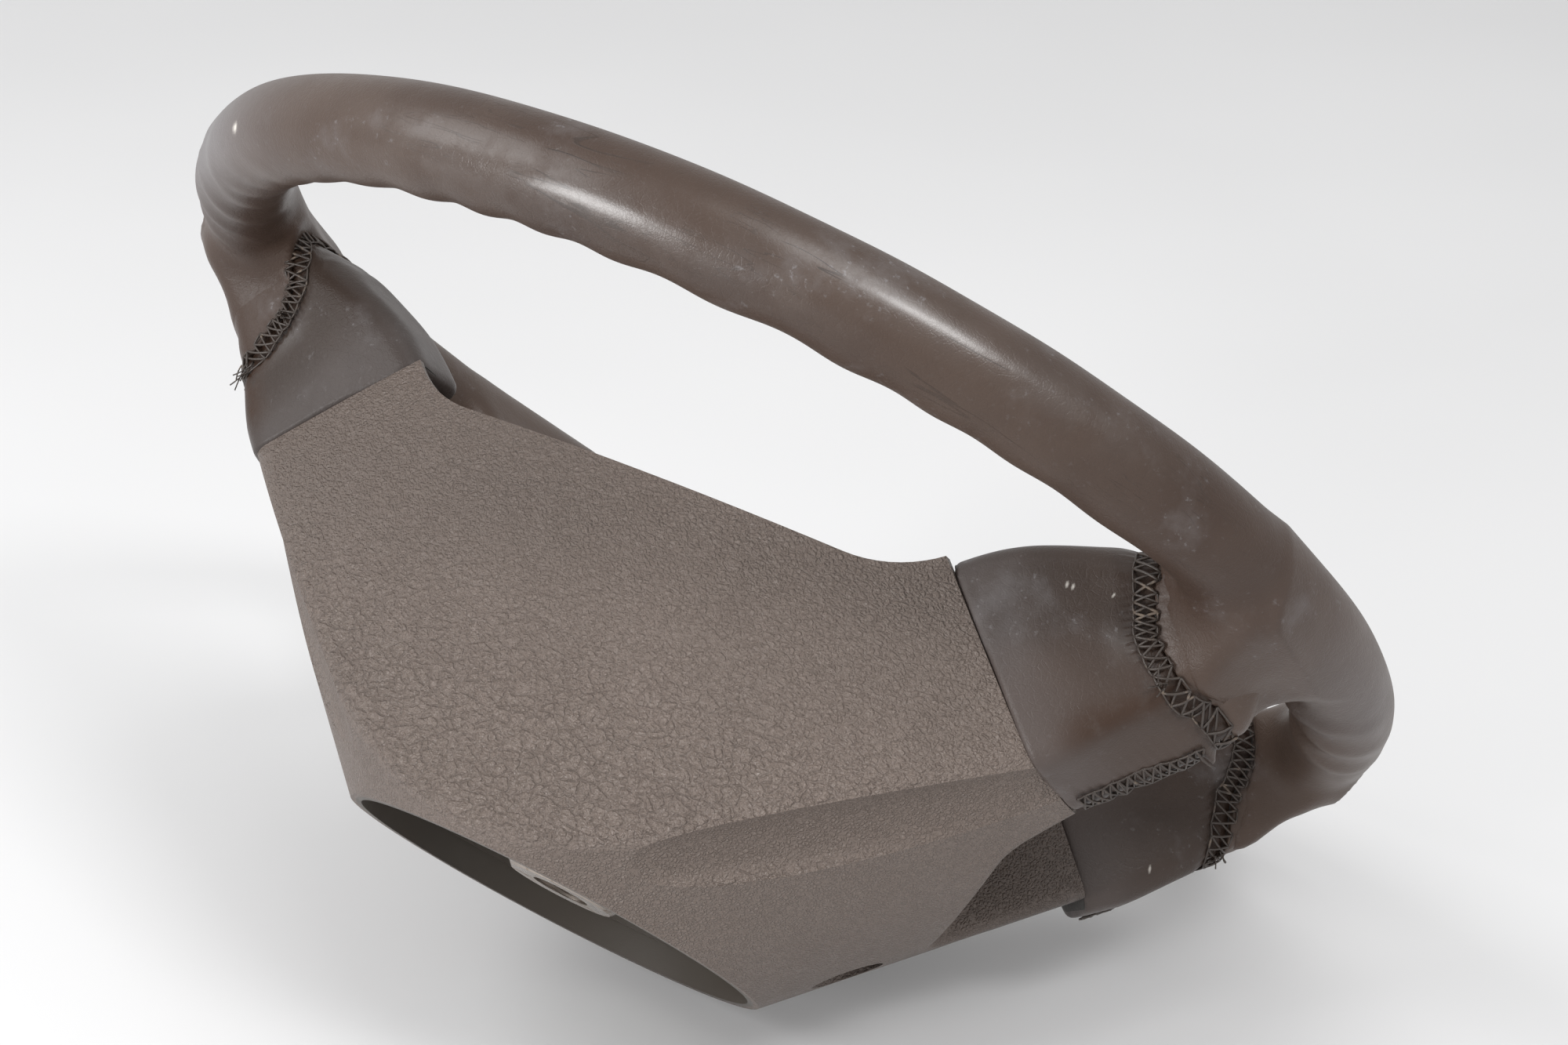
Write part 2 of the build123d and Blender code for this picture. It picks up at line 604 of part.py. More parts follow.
def make_can():
    outer = RectangleRounded(2 * CAN_HALF_X, 2 * CAN_HALF_Z, CAN_CORNER)
    inner = RectangleRounded(2 * (CAN_HALF_X - CAN_WALL), 2 * (CAN_HALF_Z - CAN_WALL), CAN_CORNER - CAN_WALL)
    base = outer + ear_outline()
    base -= Circle(INFLATOR_RADIUS + MODULE_CLEARANCE)
    for x, z in guide_places():
        base -= Pos(x, z) * Circle(GUIDE_HEAD_RADIUS + MODULE_CLEARANCE)
    for x, z in STUD_PLACES:
        base -= Pos(x, z) * Circle(STUD_RADIUS + SEAT_CLEARANCE)
    can = slab(base, BASE_FRONT, PLATE_DEPTH) + slab(outer - inner, CAN_FRONT, BASE_FRONT)
    for sx in SIDES:
        can += rod(BASE_FRONT - WELD_NUT_HEIGHT, BASE_FRONT, WELD_NUT_RADIUS, sx * ACCESS_X, ACCESS_Z)
        can -= rod(0, FAR, MODULE_SCREW_RADIUS + SEAT_CLEARANCE, sx * ACCESS_X, ACCESS_Z)
    for x, sz in RIVET_PLACES:
        can -= rivet_pin(x, sz, CAN_HALF_Z / 2, FAR, RIVET_RADIUS + SEAT_CLEARANCE)
    return can


def make_inflator():
    front = BASE_FRONT - INFLATOR_FRONT
    body = rod(front, BASE_FRONT + INFLATOR_BACK, INFLATOR_RADIUS)
    ends = body.edges().filter_by(GeomType.CIRCLE)
    body = fillet(ends, INFLATOR_ROUND)
    flange = Circle(INFLATOR_FLANGE_RADIUS)
    for x, z in STUD_PLACES:
        flange -= Pos(x, z) * Circle(STUD_RADIUS + SEAT_CLEARANCE)
    return body + slab(flange, BASE_FRONT - INFLATOR_FLANGE, BASE_FRONT)


def make_retainer():
    plate_back = RETAINER_FRONT + RETAINER
    retainer = tube(RETAINER_FRONT, plate_back, INFLATOR_FLANGE_RADIUS, INFLATOR_RADIUS + MODULE_CLEARANCE)
    for x, z in STUD_PLACES:
        retainer += rod(plate_back, PLATE_DEPTH + NUT_HEIGHT, STUD_RADIUS, x, z)
    return retainer


def make_nuts():
    nut = RegularPolygon(NUT_FLATS / 2, 6, major_radius=False) - Circle(STUD_RADIUS + SEAT_CLEARANCE)
    return group([slab(Pos(x, z) * nut, PLATE_DEPTH, PLATE_DEPTH + NUT_HEIGHT) for x, z in STUD_PLACES])


def make_cushion():
    gap = CAN_WALL + MODULE_CLEARANCE
    outline = RectangleRounded(2 * (CAN_HALF_X - gap), 2 * (CAN_HALF_Z - gap), CUSHION_CORNER)
    cushion = slab(outline, CUSHION_FRONT, RETAINER_FRONT - MODULE_CLEARANCE)
    cushion -= rod(BASE_FRONT - INFLATOR_FRONT - MODULE_CLEARANCE, FAR, INFLATOR_RADIUS + MODULE_CLEARANCE)
    for x, sz in RIVET_PLACES:
        cushion -= rivet_pin(x, sz, CAN_HALF_Z - gap - RIVET_HEAD, FAR, RIVET_HEAD_RADIUS + MODULE_CLEARANCE)
    return cushion


def pad_crown(setback):
    """Everything behind the pad's crowned face, set back from it."""
    radius = PAD_CROWN_RADIUS - setback
    centre = at_depth(PAD_CROWN_DEPTH + PAD_CROWN_RADIUS)
    barrel = Plane(origin=(-FAR / 2, centre, 0), x_dir=(0, 1, 0), z_dir=(1, 0, 0)) * Circle(radius)
    return extrude(barrel, FAR)


def make_pad():
    edge = SHROUD_WALL + PAD_EDGE_GAP
    depth_back = PAD_CROWN_DEPTH + FRONT_EDGE_DEPTH
    outer = slab(shroud_outline(edge), 0, depth_back)
    inner = slab(shroud_outline(edge + PAD_WALL), 0, depth_back + 1)
    face = (outer & pad_crown(0)) - pad_crown(PAD_WALL)
    rim = (outer & pad_crown(0)) - pad_crown(PAD_WALL + PAD_RIM) - inner
    reach_x = CAN_HALF_X + MODULE_CLEARANCE
    reach_z = CAN_HALF_Z + MODULE_CLEARANCE
    bore = RectangleRounded(2 * reach_x, 2 * reach_z, CAN_CORNER + MODULE_CLEARANCE)
    out_x = reach_x + PAD_SKIRT_WALL
    out_z = reach_z + PAD_SKIRT_WALL
    wall = RectangleRounded(2 * out_x, 2 * out_z, CAN_CORNER + PAD_SKIRT_WALL)
    skirt = slab(wall - bore, 0, CAN_FRONT + PAD_SKIRT_OVERLAP) & pad_crown(PAD_WALL / 2)
    pad = face + rim
    for arm in ARMS:
        pad -= arm.beyond(0.0, -PAD_END_GAP)
    pad = pad.solids().sort_by(SortBy.VOLUME)[-1] + skirt
    for x, sz in RIVET_PLACES:
        pad -= rivet_pin(x, sz, CAN_HALF_Z / 2, FAR, RIVET_RADIUS + SEAT_CLEARANCE)
    return pad


def make_rivets():
    rivets = []
    inside = CAN_HALF_Z - CAN_WALL
    outside = CAN_HALF_Z + MODULE_CLEARANCE + PAD_SKIRT_WALL
    for x, sz in RIVET_PLACES:
        pin = rivet_pin(x, sz, inside, outside, RIVET_RADIUS)
        pin += rivet_pin(x, sz, inside - RIVET_HEAD, inside, RIVET_HEAD_RADIUS)
        pin += rivet_pin(x, sz, outside, outside + RIVET_HEAD, RIVET_HEAD_RADIUS)
        rivets.append(pin)
    return group(rivets)


def make_module_screws():
    screws = []
    seat = PLATE_DEPTH + PLATE
    tip = BASE_FRONT - WELD_NUT_HEIGHT - MODULE_SCREW_TIP
    for sx in SIDES:
        x = sx * ACCESS_X
        screw = rod(tip, seat, MODULE_SCREW_RADIUS, x, ACCESS_Z)
        screw += rod(seat, seat + MODULE_SCREW_HEAD, MODULE_SCREW_HEAD_RADIUS, x, ACCESS_Z)
        socket = rod(seat + MODULE_SCREW_HEAD - SOCKET_DEPTH, FAR, SOCKET_RADIUS, x, ACCESS_Z)
        screws.append(screw - socket)
    return group(screws)


save("rim_core", ring(CORE_ROD_RADIUS))
save("hub_spider", make_spider())
save("hub_boss", make_boss())
save("rim_foam", make_foam())
save("rim_leather", make_rim_leather())
for arm in ARMS:
    save(f"spoke_boot_{arm.name}", make_boot(arm))
save("rear_shroud", make_shroud())
save("shroud_screws", make_shroud_screws())
save("horn_plate", make_horn_plate())
save("guide_bolts", make_guide_bolts())
save("guide_bushes", make_guide_bushes())
save("horn_springs", make_springs())
save("fixed_contacts", make_fixed_contacts())
save("moving_contacts", make_moving_contacts())
save("module_can", make_can())
save("inflator", make_inflator())
save("cushion_retainer", make_retainer())
save("retainer_nuts", make_nuts())
save("folded_cushion", make_cushion())
save("pad_cover", make_pad())
save("pad_rivets", make_rivets())
save("module_screws", make_module_screws())
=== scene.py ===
import math

import bpy
import numpy as np
from mathutils import Matrix, Vector
from mathutils.bvhtree import BVHTree


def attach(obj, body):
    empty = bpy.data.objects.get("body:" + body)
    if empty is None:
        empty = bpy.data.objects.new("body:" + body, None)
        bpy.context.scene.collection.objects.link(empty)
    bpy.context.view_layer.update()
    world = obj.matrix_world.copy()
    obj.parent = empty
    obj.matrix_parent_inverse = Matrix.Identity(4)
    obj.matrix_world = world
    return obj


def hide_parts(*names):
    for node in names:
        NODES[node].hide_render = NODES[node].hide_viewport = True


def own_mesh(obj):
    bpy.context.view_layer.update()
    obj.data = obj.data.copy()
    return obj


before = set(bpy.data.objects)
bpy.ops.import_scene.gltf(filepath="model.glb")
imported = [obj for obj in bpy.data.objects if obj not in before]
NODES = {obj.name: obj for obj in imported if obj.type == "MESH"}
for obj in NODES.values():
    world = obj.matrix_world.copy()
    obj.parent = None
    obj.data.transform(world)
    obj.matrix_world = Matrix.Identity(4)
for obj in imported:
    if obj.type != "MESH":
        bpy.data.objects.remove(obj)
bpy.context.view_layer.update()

# Leather steering wheel. Lengths are in millimetres in the wheel's own frame: the origin is the middle of
# the rim, +Y runs towards the column, +Z is twelve o'clock. The part's frame lies 146 mm further back.
MM = 0.001
HUB_DEPTH = 146.0
rng = np.random.default_rng(7)

# Rim
RING = 185.0
TUBE = 14.8

# Arms: the same section planes and corners as the solids have, and where the lacing runs round each one.
# Corners go front top, back top, back bottom, front bottom; lacing is (degrees round the section, share).
UPPER = {"seam": (117.0, 46.5, 44.5), "normal": (0.69, -0.70, 0.10), "clock": 76.0,
         "seam_corners": ((-33.0, 19.5), (30.0, 9.0), (36.5, -23.0), (-33.0, -11.5)),
         "lace_corners": ((-17.0, 18.0), (21.0, 8.5), (31.0, -23.0), (-24.0, -10.5)),
         "root_corners": ((-11.5, 22.0), (11.5, 22.0), (11.5, -22.0), (-11.5, -22.0))}
LOWER = {"seam": (102.5, 58.0, -66.5), "normal": (0.62, -0.70, -0.34), "clock": 123.0,
         "seam_corners": ((-20.5, 28.0), (34.5, 4.0), (20.5, -28.0), (-34.5, -4.0)),
         "lace_corners": ((-14.0, 25.0), (28.0, 6.0), (14.0, -25.0), (-28.0, -6.0)),
         "root_corners": ((-1.5, 25.0), (19.5, 15.5), (1.5, -25.0), (-19.5, -15.5))}
LACE_LINES = {
    "upper_left": ((-40, 0.70), (-18, 0.70), (10, 0.62), (35, 0.585), (60, 0.56), (96, 0.595), (130, 0.64),
                   (180, 0.69), (250, 0.70)),
    "upper_right": ((-40, 0.50), (0, 0.43), (26, 0.43), (46, 0.48), (71, 0.51), (92, 0.55), (108, 0.61),
                    (117, 0.69), (125, 0.77), (134, 0.82), (190, 0.82), (250, 0.66)),
    "lower_left": ((-40, 0.50), (9, 0.56), (27, 0.60), (47, 0.64), (68, 0.71), (90, 0.76), (130, 0.78),
                   (180, 0.70), (250, 0.56)),
    "lower_right": ((-40, 0.50), (9, 0.56), (27, 0.60), (47, 0.64), (68, 0.70), (112, 0.74), (180, 0.68),
                    (250, 0.56)),
}
LACE_SPREAD = 0.1
ROOT_DEPTH = 5.0
LACE_AT = 0.62
LACE_BAND = 5.2
LACE_RADIUS = 18.0
CORNER_SOFT = 7.0
SEAM_GAP = 0.5
# Rays to an arm's axis start outside every section, and a hit counts up to a little beyond the section.
RAY_START = 52.0
SKIN_SPARE = 1.5
SKIN_UNFOUND = 0.96
SKIN_PASSES = 3


def to_frame(points):
    """Wheel-frame millimetres to part-frame metres."""
    points = np.asarray(points, float).reshape(-1, 3)
    return (points - np.array([0.0, HUB_DEPTH, 0.0])) * MM


def unit(v):
    v = np.asarray(v, float)
    return v / np.linalg.norm(v, axis=-1, keepdims=True)


def smooth_step(x, low, high):
    t = np.clip((x - low) / (high - low), 0.0, 1.0)
    return t * t * (3 - 2 * t)


def bell(x, middle, width):
    return np.exp(-(((x - middle) / width) ** 2))


# Smooth noise from a few seeded waves, used to unsettle forms
class Waves:
    def __init__(self, count, shortest, longest):
        ways = unit(rng.normal(size=(count, 3)))
        self.k = ways * (2 * np.pi / rng.uniform(shortest, longest, (count, 1)))
        self.phase = rng.uniform(0, 2 * np.pi, count)

    def __call__(self, points):
        return np.sin(points @ self.k.T + self.phase).mean(axis=1) * 1.6


# Arms
class Arm:
    """Axis and four-cornered sections of one padded arm, from the shroud's seam to the rim."""

    def __init__(self, level, side, sizes):
        self.name = f"{level}_{'left' if side < 0 else 'right'}"
        self.side = side
        self.level = level
        self.slack = 1.0 if self.name == "upper_left" else 0.0
        flip = np.array([side, 1.0, 1.0])
        self.seam = np.array(sizes["seam"]) * flip
        self.normal = unit(np.array(sizes["normal"]) * flip)
        clock = math.radians(sizes["clock"])
        self.outward = np.array([side * math.sin(clock), 0.0, math.cos(clock)])
        self.root = self.outward * RING + np.array([0.0, ROOT_DEPTH, 0.0])
        self.chord = self.root - self.seam
        self.reach = float(np.linalg.norm(self.chord))
        self.root_normal = unit(self.chord)
        self.corners = [np.array(sizes[key]) for key in ("seam_corners", "lace_corners", "root_corners")]
        line = np.array(LACE_LINES[self.name])
        self.lace_angles = np.radians(np.concatenate([line[:, 0], [line[0, 0] + 360]]))
        self.lace_shares = np.concatenate([line[:, 1], [line[0, 1]]])
        meshes = [NODES[f"spoke_boot_{self.name}"].data, NODES["rim_leather"].data]
        points, faces = [], []
        for mesh in meshes:
            base = len(points)
            points += [v.co.copy() for v in mesh.vertices]
            faces += [[i + base for i in face.vertices] for face in mesh.polygons]
        self.skin = BVHTree.FromPolygons(points, faces)

    def axis(self, share):
        """Centre, along, across and up at shares of the arm's length."""
        share = np.asarray(share, float)[..., None]
        turn = np.maximum(share, 0.0)
        along = unit(self.normal * (1 - turn) + self.root_normal * turn)
        centre = self.seam + self.normal * (self.reach * share * (1 - turn)) + self.chord * (share * turn)
        across = unit(np.cross(np.array([0.0, 0.0, 1.0]), along)) * self.side
        up = np.cross(along, across) * self.side
        return centre, along, across, up

    def section(self, share):
        """Corners of the section at shares of the length."""
        share = np.asarray(share, float)
        to_lace = smooth_step(share, -0.1, LACE_AT)[..., None, None]
        to_root = smooth_step(share, LACE_AT, 1.0)[..., None, None]
        seam, lace, root = self.corners
        return (seam * (1 - to_lace) + lace * to_lace) * (1 - to_root) + root * to_root

    def locate(self, points):
        """Share along the arm and section coordinates of points near it."""
        share = np.clip((points - self.seam) @ self.root_normal / self.reach, -0.3, 1.3)
        for _ in range(4):
            centre, along = self.axis(share)[:2]
            share = np.clip(share + np.einsum("ij,ij->i", points - centre, along) / self.reach, -0.4, 1.4)
        centre, _, across, up = self.axis(share)
        offset = points - centre
        return share, np.einsum("ij,ij->i", offset, across), np.einsum("ij,ij->i", offset, up)

    def distance(self, points):
        """Signed distance, about, to the arm's side walls, with share and angle round the section."""
        share, x, y = self.locate(points)
        corners = self.section(share)
        wall = np.full(len(points), -1e3)
        for i in range(4):
            a = corners[:, i]
            edge = unit(corners[:, (i + 1) % 4] - a)
            side = (x - a[:, 0]) * -edge[:, 1] + (y - a[:, 1]) * edge[:, 0]
            wall = -soft_min(-wall, -side, CORNER_SOFT)
        return wall, share, np.arctan2(y, x)

    def lace(self, angle):
        """Share at which the lacing crosses, at angles round the section."""
        angle = (np.asarray(angle) - self.lace_angles[0]) % (2 * np.pi) + self.lace_angles[0]
        near = [np.interp(angle + d, self.lace_angles, self.lace_shares, period=2 * np.pi)
                for d in (-LACE_SPREAD, 0, LACE_SPREAD)]
        return sum(near) / 3

    def lace_slope(self, angle, step=0.06):
        """Rise of the lacing along the arm for each millimetre round it."""
        return (self.lace(angle + step) - self.lace(angle - step)) * self.reach / (2 * step * LACE_RADIUS)

    def band(self, angle):
        """Half the lacing's gap as a share of the length, more where the lacing runs steeply."""
        return LACE_BAND / 2 * np.hypot(1.0, np.clip(self.lace_slope(angle), -3, 3)) / self.reach

    def surface(self, share, angle, grow=0.0):
        """Point on the solid arm's skin at one share and angle, moved outward."""
        centre, _, across, up = self.axis(np.array(share))
        ray = across * math.cos(angle) + up * math.sin(angle)
        start = to_frame(centre + ray * RAY_START)[0]
        hit = self.skin.ray_cast(Vector(start), Vector(-ray), RAY_START * MM)[0]
        corners = self.section(np.array(share))
        flat = np.array([math.cos(angle), math.sin(angle)])
        edges = np.roll(corners, -1, axis=0) - corners
        out = np.stack([-edges[:, 1], edges[:, 0]], -1) / np.linalg.norm(edges, axis=1, keepdims=True)
        facing = out @ flat
        lengths = (out * corners).sum(axis=1)
        limit = min(d / c for d, c in zip(lengths, facing) if c > 1e-6)
        if hit is None:
            radius = limit * SKIN_UNFOUND
        else:
            place = np.array(hit) / MM + np.array([0.0, HUB_DEPTH, 0.0])
            radius = min(float(np.linalg.norm(place - centre)), limit + SKIN_SPARE)
        return centre + ray * (radius + grow)


def soft_min(a, b, k):
    h = np.clip(0.5 + 0.5 * (b - a) / k, 0.0, 1.0)
    return b + (a - b) * h - k * h * (1 - h)


LEVELS = {"upper": UPPER, "lower": LOWER}
ARMS = [Arm(level, side, sizes) for level, sizes in LEVELS.items() for side in (-1, 1)]


# Meshes
def grid_faces(rows, columns, wrap_rows, wrap_columns):
    r = np.arange(rows if wrap_rows else rows - 1)
    c = np.arange(columns if wrap_columns else columns - 1)
    r0, c0 = np.meshgrid(r, c, indexing="ij")
    r1 = (r0 + 1) % rows
    c1 = (c0 + 1) % columns
    quads = np.stack([r0 * columns + c0, r0 * columns + c1, r1 * columns + c1, r1 * columns + c0], -1)
    return quads.reshape(-1, 4)


def turned(faces, side):
    """Faces of an arm's skin as lists, wound so that they look outward on either side of the wheel."""
    return (faces[:, ::-1] if side > 0 else faces).tolist()


def new_piece(name, points_mm, faces, material, attributes=None):
    """A smooth mesh object from wheel-frame points."""
    mesh = bpy.data.meshes.new(name)
    mesh.from_pydata(to_frame(points_mm).tolist(), [], faces)
    mesh.polygons.foreach_set("use_smooth", [True] * len(mesh.polygons))
    for key, values in (attributes or {}).items():
        layer = mesh.attributes.new(key, "FLOAT", "POINT")
        layer.data.foreach_set("value", np.asarray(values, np.float32))
    mesh.update()
    piece = bpy.data.objects.new(name, mesh)
    bpy.context.scene.collection.objects.link(piece)
    mesh.materials.append(material)
    return piece


def vertex_normals(points, rows, columns):
    """Normals of a grid that wraps both ways."""
    p = points.reshape(rows, columns, 3)
    du = np.roll(p, -1, 0) - np.roll(p, 1, 0)
    dv = np.roll(p, -1, 1) - np.roll(p, 1, 1)
    return unit(np.cross(dv, du)).reshape(-1, 3)


class Tubes:
    """Many thin tubes gathered in one mesh."""

    def __init__(self, sides=6):
        self.sides = sides
        self.points = []
        self.faces = []
        self.count = 0

    def add(self, path, radius):
        path = np.asarray(path, float)
        n = len(path)
        tangent = unit(np.gradient(path, axis=0))
        helper = np.array([0.3, 0.9, 0.31])
        first = unit(np.cross(tangent, helper))
        second = np.cross(tangent, first)
        angle = np.linspace(0, 2 * np.pi, self.sides, endpoint=False)
        radius = np.broadcast_to(np.asarray(radius, float), (n,))[:, None, None]
        ring = first[:, None] * np.cos(angle)[:, None] + second[:, None] * np.sin(angle)[:, None]
        self.points.append((path[:, None] + ring * radius).reshape(-1, 3))
        faces = grid_faces(n, self.sides, False, True) + self.count
        start = list(range(self.count, self.count + self.sides))
        end = list(range(self.count + (n - 1) * self.sides, self.count + n * self.sides))
        self.faces += faces.tolist() + [start[::-1], end]
        self.count += n * self.sides

    def piece(self, name, material):
        return new_piece(name, np.vstack(self.points), self.faces, material)


# Material helpers
class Shader:
    """A node material built step by step round one principled shader."""

    def __init__(self, name):
        self.material = bpy.data.materials.new(name)
        self.material.use_nodes = True
        self.tree = self.material.node_tree
        self.bsdf = self.tree.nodes["Principled BSDF"]
        self.coordinates = self.tree.nodes.new("ShaderNodeTexCoord").outputs["Object"]

    def add(self, kind, **settings):
        node = self.tree.nodes.new(kind)
        for key, value in settings.items():
            setattr(node, key, value)
        return node

    def link(self, source, target):
        if hasattr(source, "node"):
            self.tree.links.new(source, target)
        else:
            target.default_value = source

    def scaled(self, vector, scale):
        node = self.add("ShaderNodeMapping")
        self.link(vector, node.inputs["Vector"])
        node.inputs["Scale"].default_value = scale
        return node.outputs["Vector"]

    def noise(self, scale, detail=3.0, rough=0.5, vector=None, distortion=0.0):
        node = self.add("ShaderNodeTexNoise")
        self.link(vector or self.coordinates, node.inputs["Vector"])
        node.inputs["Scale"].default_value = scale
        node.inputs["Detail"].default_value = detail
        node.inputs["Roughness"].default_value = rough
        node.inputs["Distortion"].default_value = distortion
        return node.outputs["Fac"]

    def warped(self, vector, scale, amount):
        """Coordinates pushed about by noise, so that cells and lines turn uneven."""
        node = self.add("ShaderNodeTexNoise")
        self.link(vector, node.inputs["Vector"])
        node.inputs["Scale"].default_value = scale
        node.inputs["Detail"].default_value = 3.0
        shift = self.add("ShaderNodeVectorMath", operation="MULTIPLY_ADD")
        self.link(node.outputs["Color"], shift.inputs[0])
        shift.inputs[1].default_value = (amount, amount, amount)
        self.link(vector, shift.inputs[2])
        return shift.outputs["Vector"]

    def cells(self, scale, feature="DISTANCE_TO_EDGE", vector=None, randomness=1.0):
        node = self.add("ShaderNodeTexVoronoi", feature=feature)
        self.link(vector or self.coordinates, node.inputs["Vector"])
        node.inputs["Scale"].default_value = scale
        node.inputs["Randomness"].default_value = randomness
        return node.outputs["Distance"]

    def ramp(self, source, low, high, a=0.0, b=1.0):
        node = self.add("ShaderNodeMapRange", interpolation_type="SMOOTHSTEP")
        self.link(source, node.inputs["Value"])
        node.inputs["From Min"].default_value = low
        node.inputs["From Max"].default_value = high
        node.inputs["To Min"].default_value = a
        node.inputs["To Max"].default_value = b
        return node.outputs["Result"]

    def math(self, operation, a, b=0.0):
        node = self.add("ShaderNodeMath", operation=operation)
        self.link(a, node.inputs[0])
        self.link(b, node.inputs[1])
        return node.outputs["Value"]

    def mix(self, factor, a, b):
        node = self.add("ShaderNodeMix", data_type="RGBA")
        self.link(factor, node.inputs["Factor"])
        self.link((*a, 1.0) if isinstance(a, tuple) else a, node.inputs["A"])
        self.link((*b, 1.0) if isinstance(b, tuple) else b, node.inputs["B"])
        return node.outputs["Result"]

    def attribute(self, name):
        return self.add("ShaderNodeAttribute", attribute_name=name).outputs["Fac"]

    def position(self, axis):
        node = self.add("ShaderNodeSeparateXYZ")
        self.link(self.coordinates, node.inputs["Vector"])
        return node.outputs[axis]

    def normal(self, axis):
        geometry = self.add("ShaderNodeNewGeometry")
        node = self.add("ShaderNodeSeparateXYZ")
        self.link(geometry.outputs["Normal"], node.inputs["Vector"])
        return node.outputs[axis]

    def bump(self, height, distance, strength=1.0, below=None):
        node = self.add("ShaderNodeBump")
        node.inputs["Strength"].default_value = strength
        node.inputs["Distance"].default_value = distance
        self.link(height, node.inputs["Height"])
        if below is not None:
            self.link(below, node.inputs["Normal"])
        return node.outputs["Normal"]

    def finish(self, color, roughness, normal=None, metallic=0.0, specular=0.5):
        self.link((*color, 1.0) if isinstance(color, tuple) else color, self.bsdf.inputs["Base Color"])
        self.link(roughness, self.bsdf.inputs["Roughness"])
        self.bsdf.inputs["Metallic"].default_value = metallic
        self.bsdf.inputs["Specular IOR Level"].default_value = specular
        if normal is not None:
            self.link(normal, self.bsdf.inputs["Normal"])
        return self.material


# Colours, linear
RIM_BROWN = (0.080, 0.055, 0.043)
RIM_DEEP = (0.052, 0.033, 0.025)
RIM_FADED = (0.220, 0.210, 0.215)
BOOT_BROWN = (0.060, 0.042, 0.034)
BOOT_DEEP = (0.036, 0.025, 0.020)
BOOT_SCUFF = (0.040, 0.021, 0.013)
SHROUD_TAUPE = (0.157, 0.122, 0.103)
SHROUD_DARK = (0.100, 0.077, 0.065)
# Painted shade for the shroud's lower arms, which lie under the upper ones
LOW_ARM_PAINTED_SHADE = (0.060, 0.046, 0.040)
COLLAR_BROWN = (0.056, 0.046, 0.037)
COLLAR_INSIDE = 0.0662
CRACK_DARK = (0.022, 0.017, 0.014)
NICK_PALE = (0.75, 0.71, 0.65)
THREAD_DARK = (0.040, 0.029, 0.023)
THREAD_WORN = (0.190, 0.145, 0.110)


def crack_lines(m, run, stretch, low, high):
    """Long thin wandering lines: where a drawn-out noise crosses its middle."""
    field = m.noise(1.0, 2.5, 0.45, m.scaled(run, stretch), 0.5)
    off = m.math("ABSOLUTE", m.math("SUBTRACT", field, 0.5))
    return m.ramp(off, low, high, 1.0, 0.0)


def leather(name, base, deep, faded, cracked, scuff=None):
    """Aged smooth leather: fine pores, drifting tone, cracks along the grip, wear by vertex masks."""
    m = Shader(name)
    tone = m.noise(9.0, 4.0, 0.6)
    patch = m.noise(38.0, 5.0, 0.62)
    speck = m.ramp(m.noise(520.0, 3.0, 0.6), 0.60, 0.72)
    colour = m.mix(m.ramp(tone, 0.35, 0.68), base, deep)
    colour = m.mix(m.ramp(patch, 0.52, 0.78, 0.0, 0.30), colour, faded)
    worn = m.math("MULTIPLY", speck, m.ramp(patch, 0.48, 0.62, 0.05, 0.42))
    colour = m.mix(worn, colour, faded)
    colour = m.mix(m.attribute("fade"), colour, faded)
    colour = m.mix(m.attribute("pale"), colour, NICK_PALE)
    if scuff:
        ragged = m.math("MULTIPLY", m.attribute("scuff"), m.ramp(m.noise(130.0, 5.0, 0.65), 0.24, 0.50))
        colour = m.mix(ragged, colour, scuff)
    pores = m.cells(1900.0, "F1", m.warped(m.coordinates, 700.0, 0.0004))
    grain = m.noise(1300.0, 4.0, 0.65)
    creases = m.ramp(m.cells(420.0, vector=m.warped(m.coordinates, 160.0, 0.0025)), 0.0, 0.10)
    fine = m.math("ADD", m.math("MULTIPLY", pores, 0.35), m.math("MULTIPLY", grain, 0.5))
    fine = m.math("ADD", fine, m.math("MULTIPLY", creases, 0.25))
    normal = m.bump(m.noise(55.0, 4.0, 0.6), 0.0007, 0.5)
    normal = m.bump(fine, 0.00022, 0.55, normal)
    rough = m.ramp(patch, 0.3, 0.75, 0.34, 0.48)
    rubbed = m.ramp(m.noise(85.0, 4.0, 0.65), 0.30, 0.58, 0.35, 1.0)
    gloss = m.math("MULTIPLY", m.attribute("gloss"), rubbed)
    rough = m.math("SUBTRACT", rough, m.math("MULTIPLY", gloss, 0.12))
    m.link(m.math("ADD", m.math("MULTIPLY", gloss, 0.96), 0.03), m.bsdf.inputs["Coat Weight"])
    if cracked:
        run = m.add("ShaderNodeCombineXYZ")
        m.link(m.attribute("along"), run.inputs["X"])
        m.link(m.attribute("around"), run.inputs["Y"])
        run = run.outputs["Vector"]
        long_lines = crack_lines(m, run, (15.0, 110.0, 1.0), 0.003, 0.012)
        where = m.ramp(m.noise(22.0, 3.0, 0.6), 0.49, 0.57, 0.0, 0.62)
        line = m.math("MULTIPLY", m.math("MULTIPLY", long_lines, where), m.attribute("crack"))
        hair = crack_lines(m, run, (36.0, 300.0, 1.0), 0.003, 0.018)
        hair = m.math("MULTIPLY", hair, m.ramp(m.noise(26.0, 4.0, 0.6), 0.52, 0.62))
        hair = m.math("MULTIPLY", m.math("MULTIPLY", hair, m.attribute("crack")), 0.35)
        split = m.math("MAXIMUM", line, hair)
        colour = m.mix(split, colour, CRACK_DARK)
        normal = m.bump(split, -0.0003, 0.8, normal)
        rough = m.math("ADD", rough, m.math("MULTIPLY", split, 0.3))
    m.bsdf.inputs["Coat Roughness"].default_value = 0.26
    return m.finish(colour, rough, normal, specular=0.22)


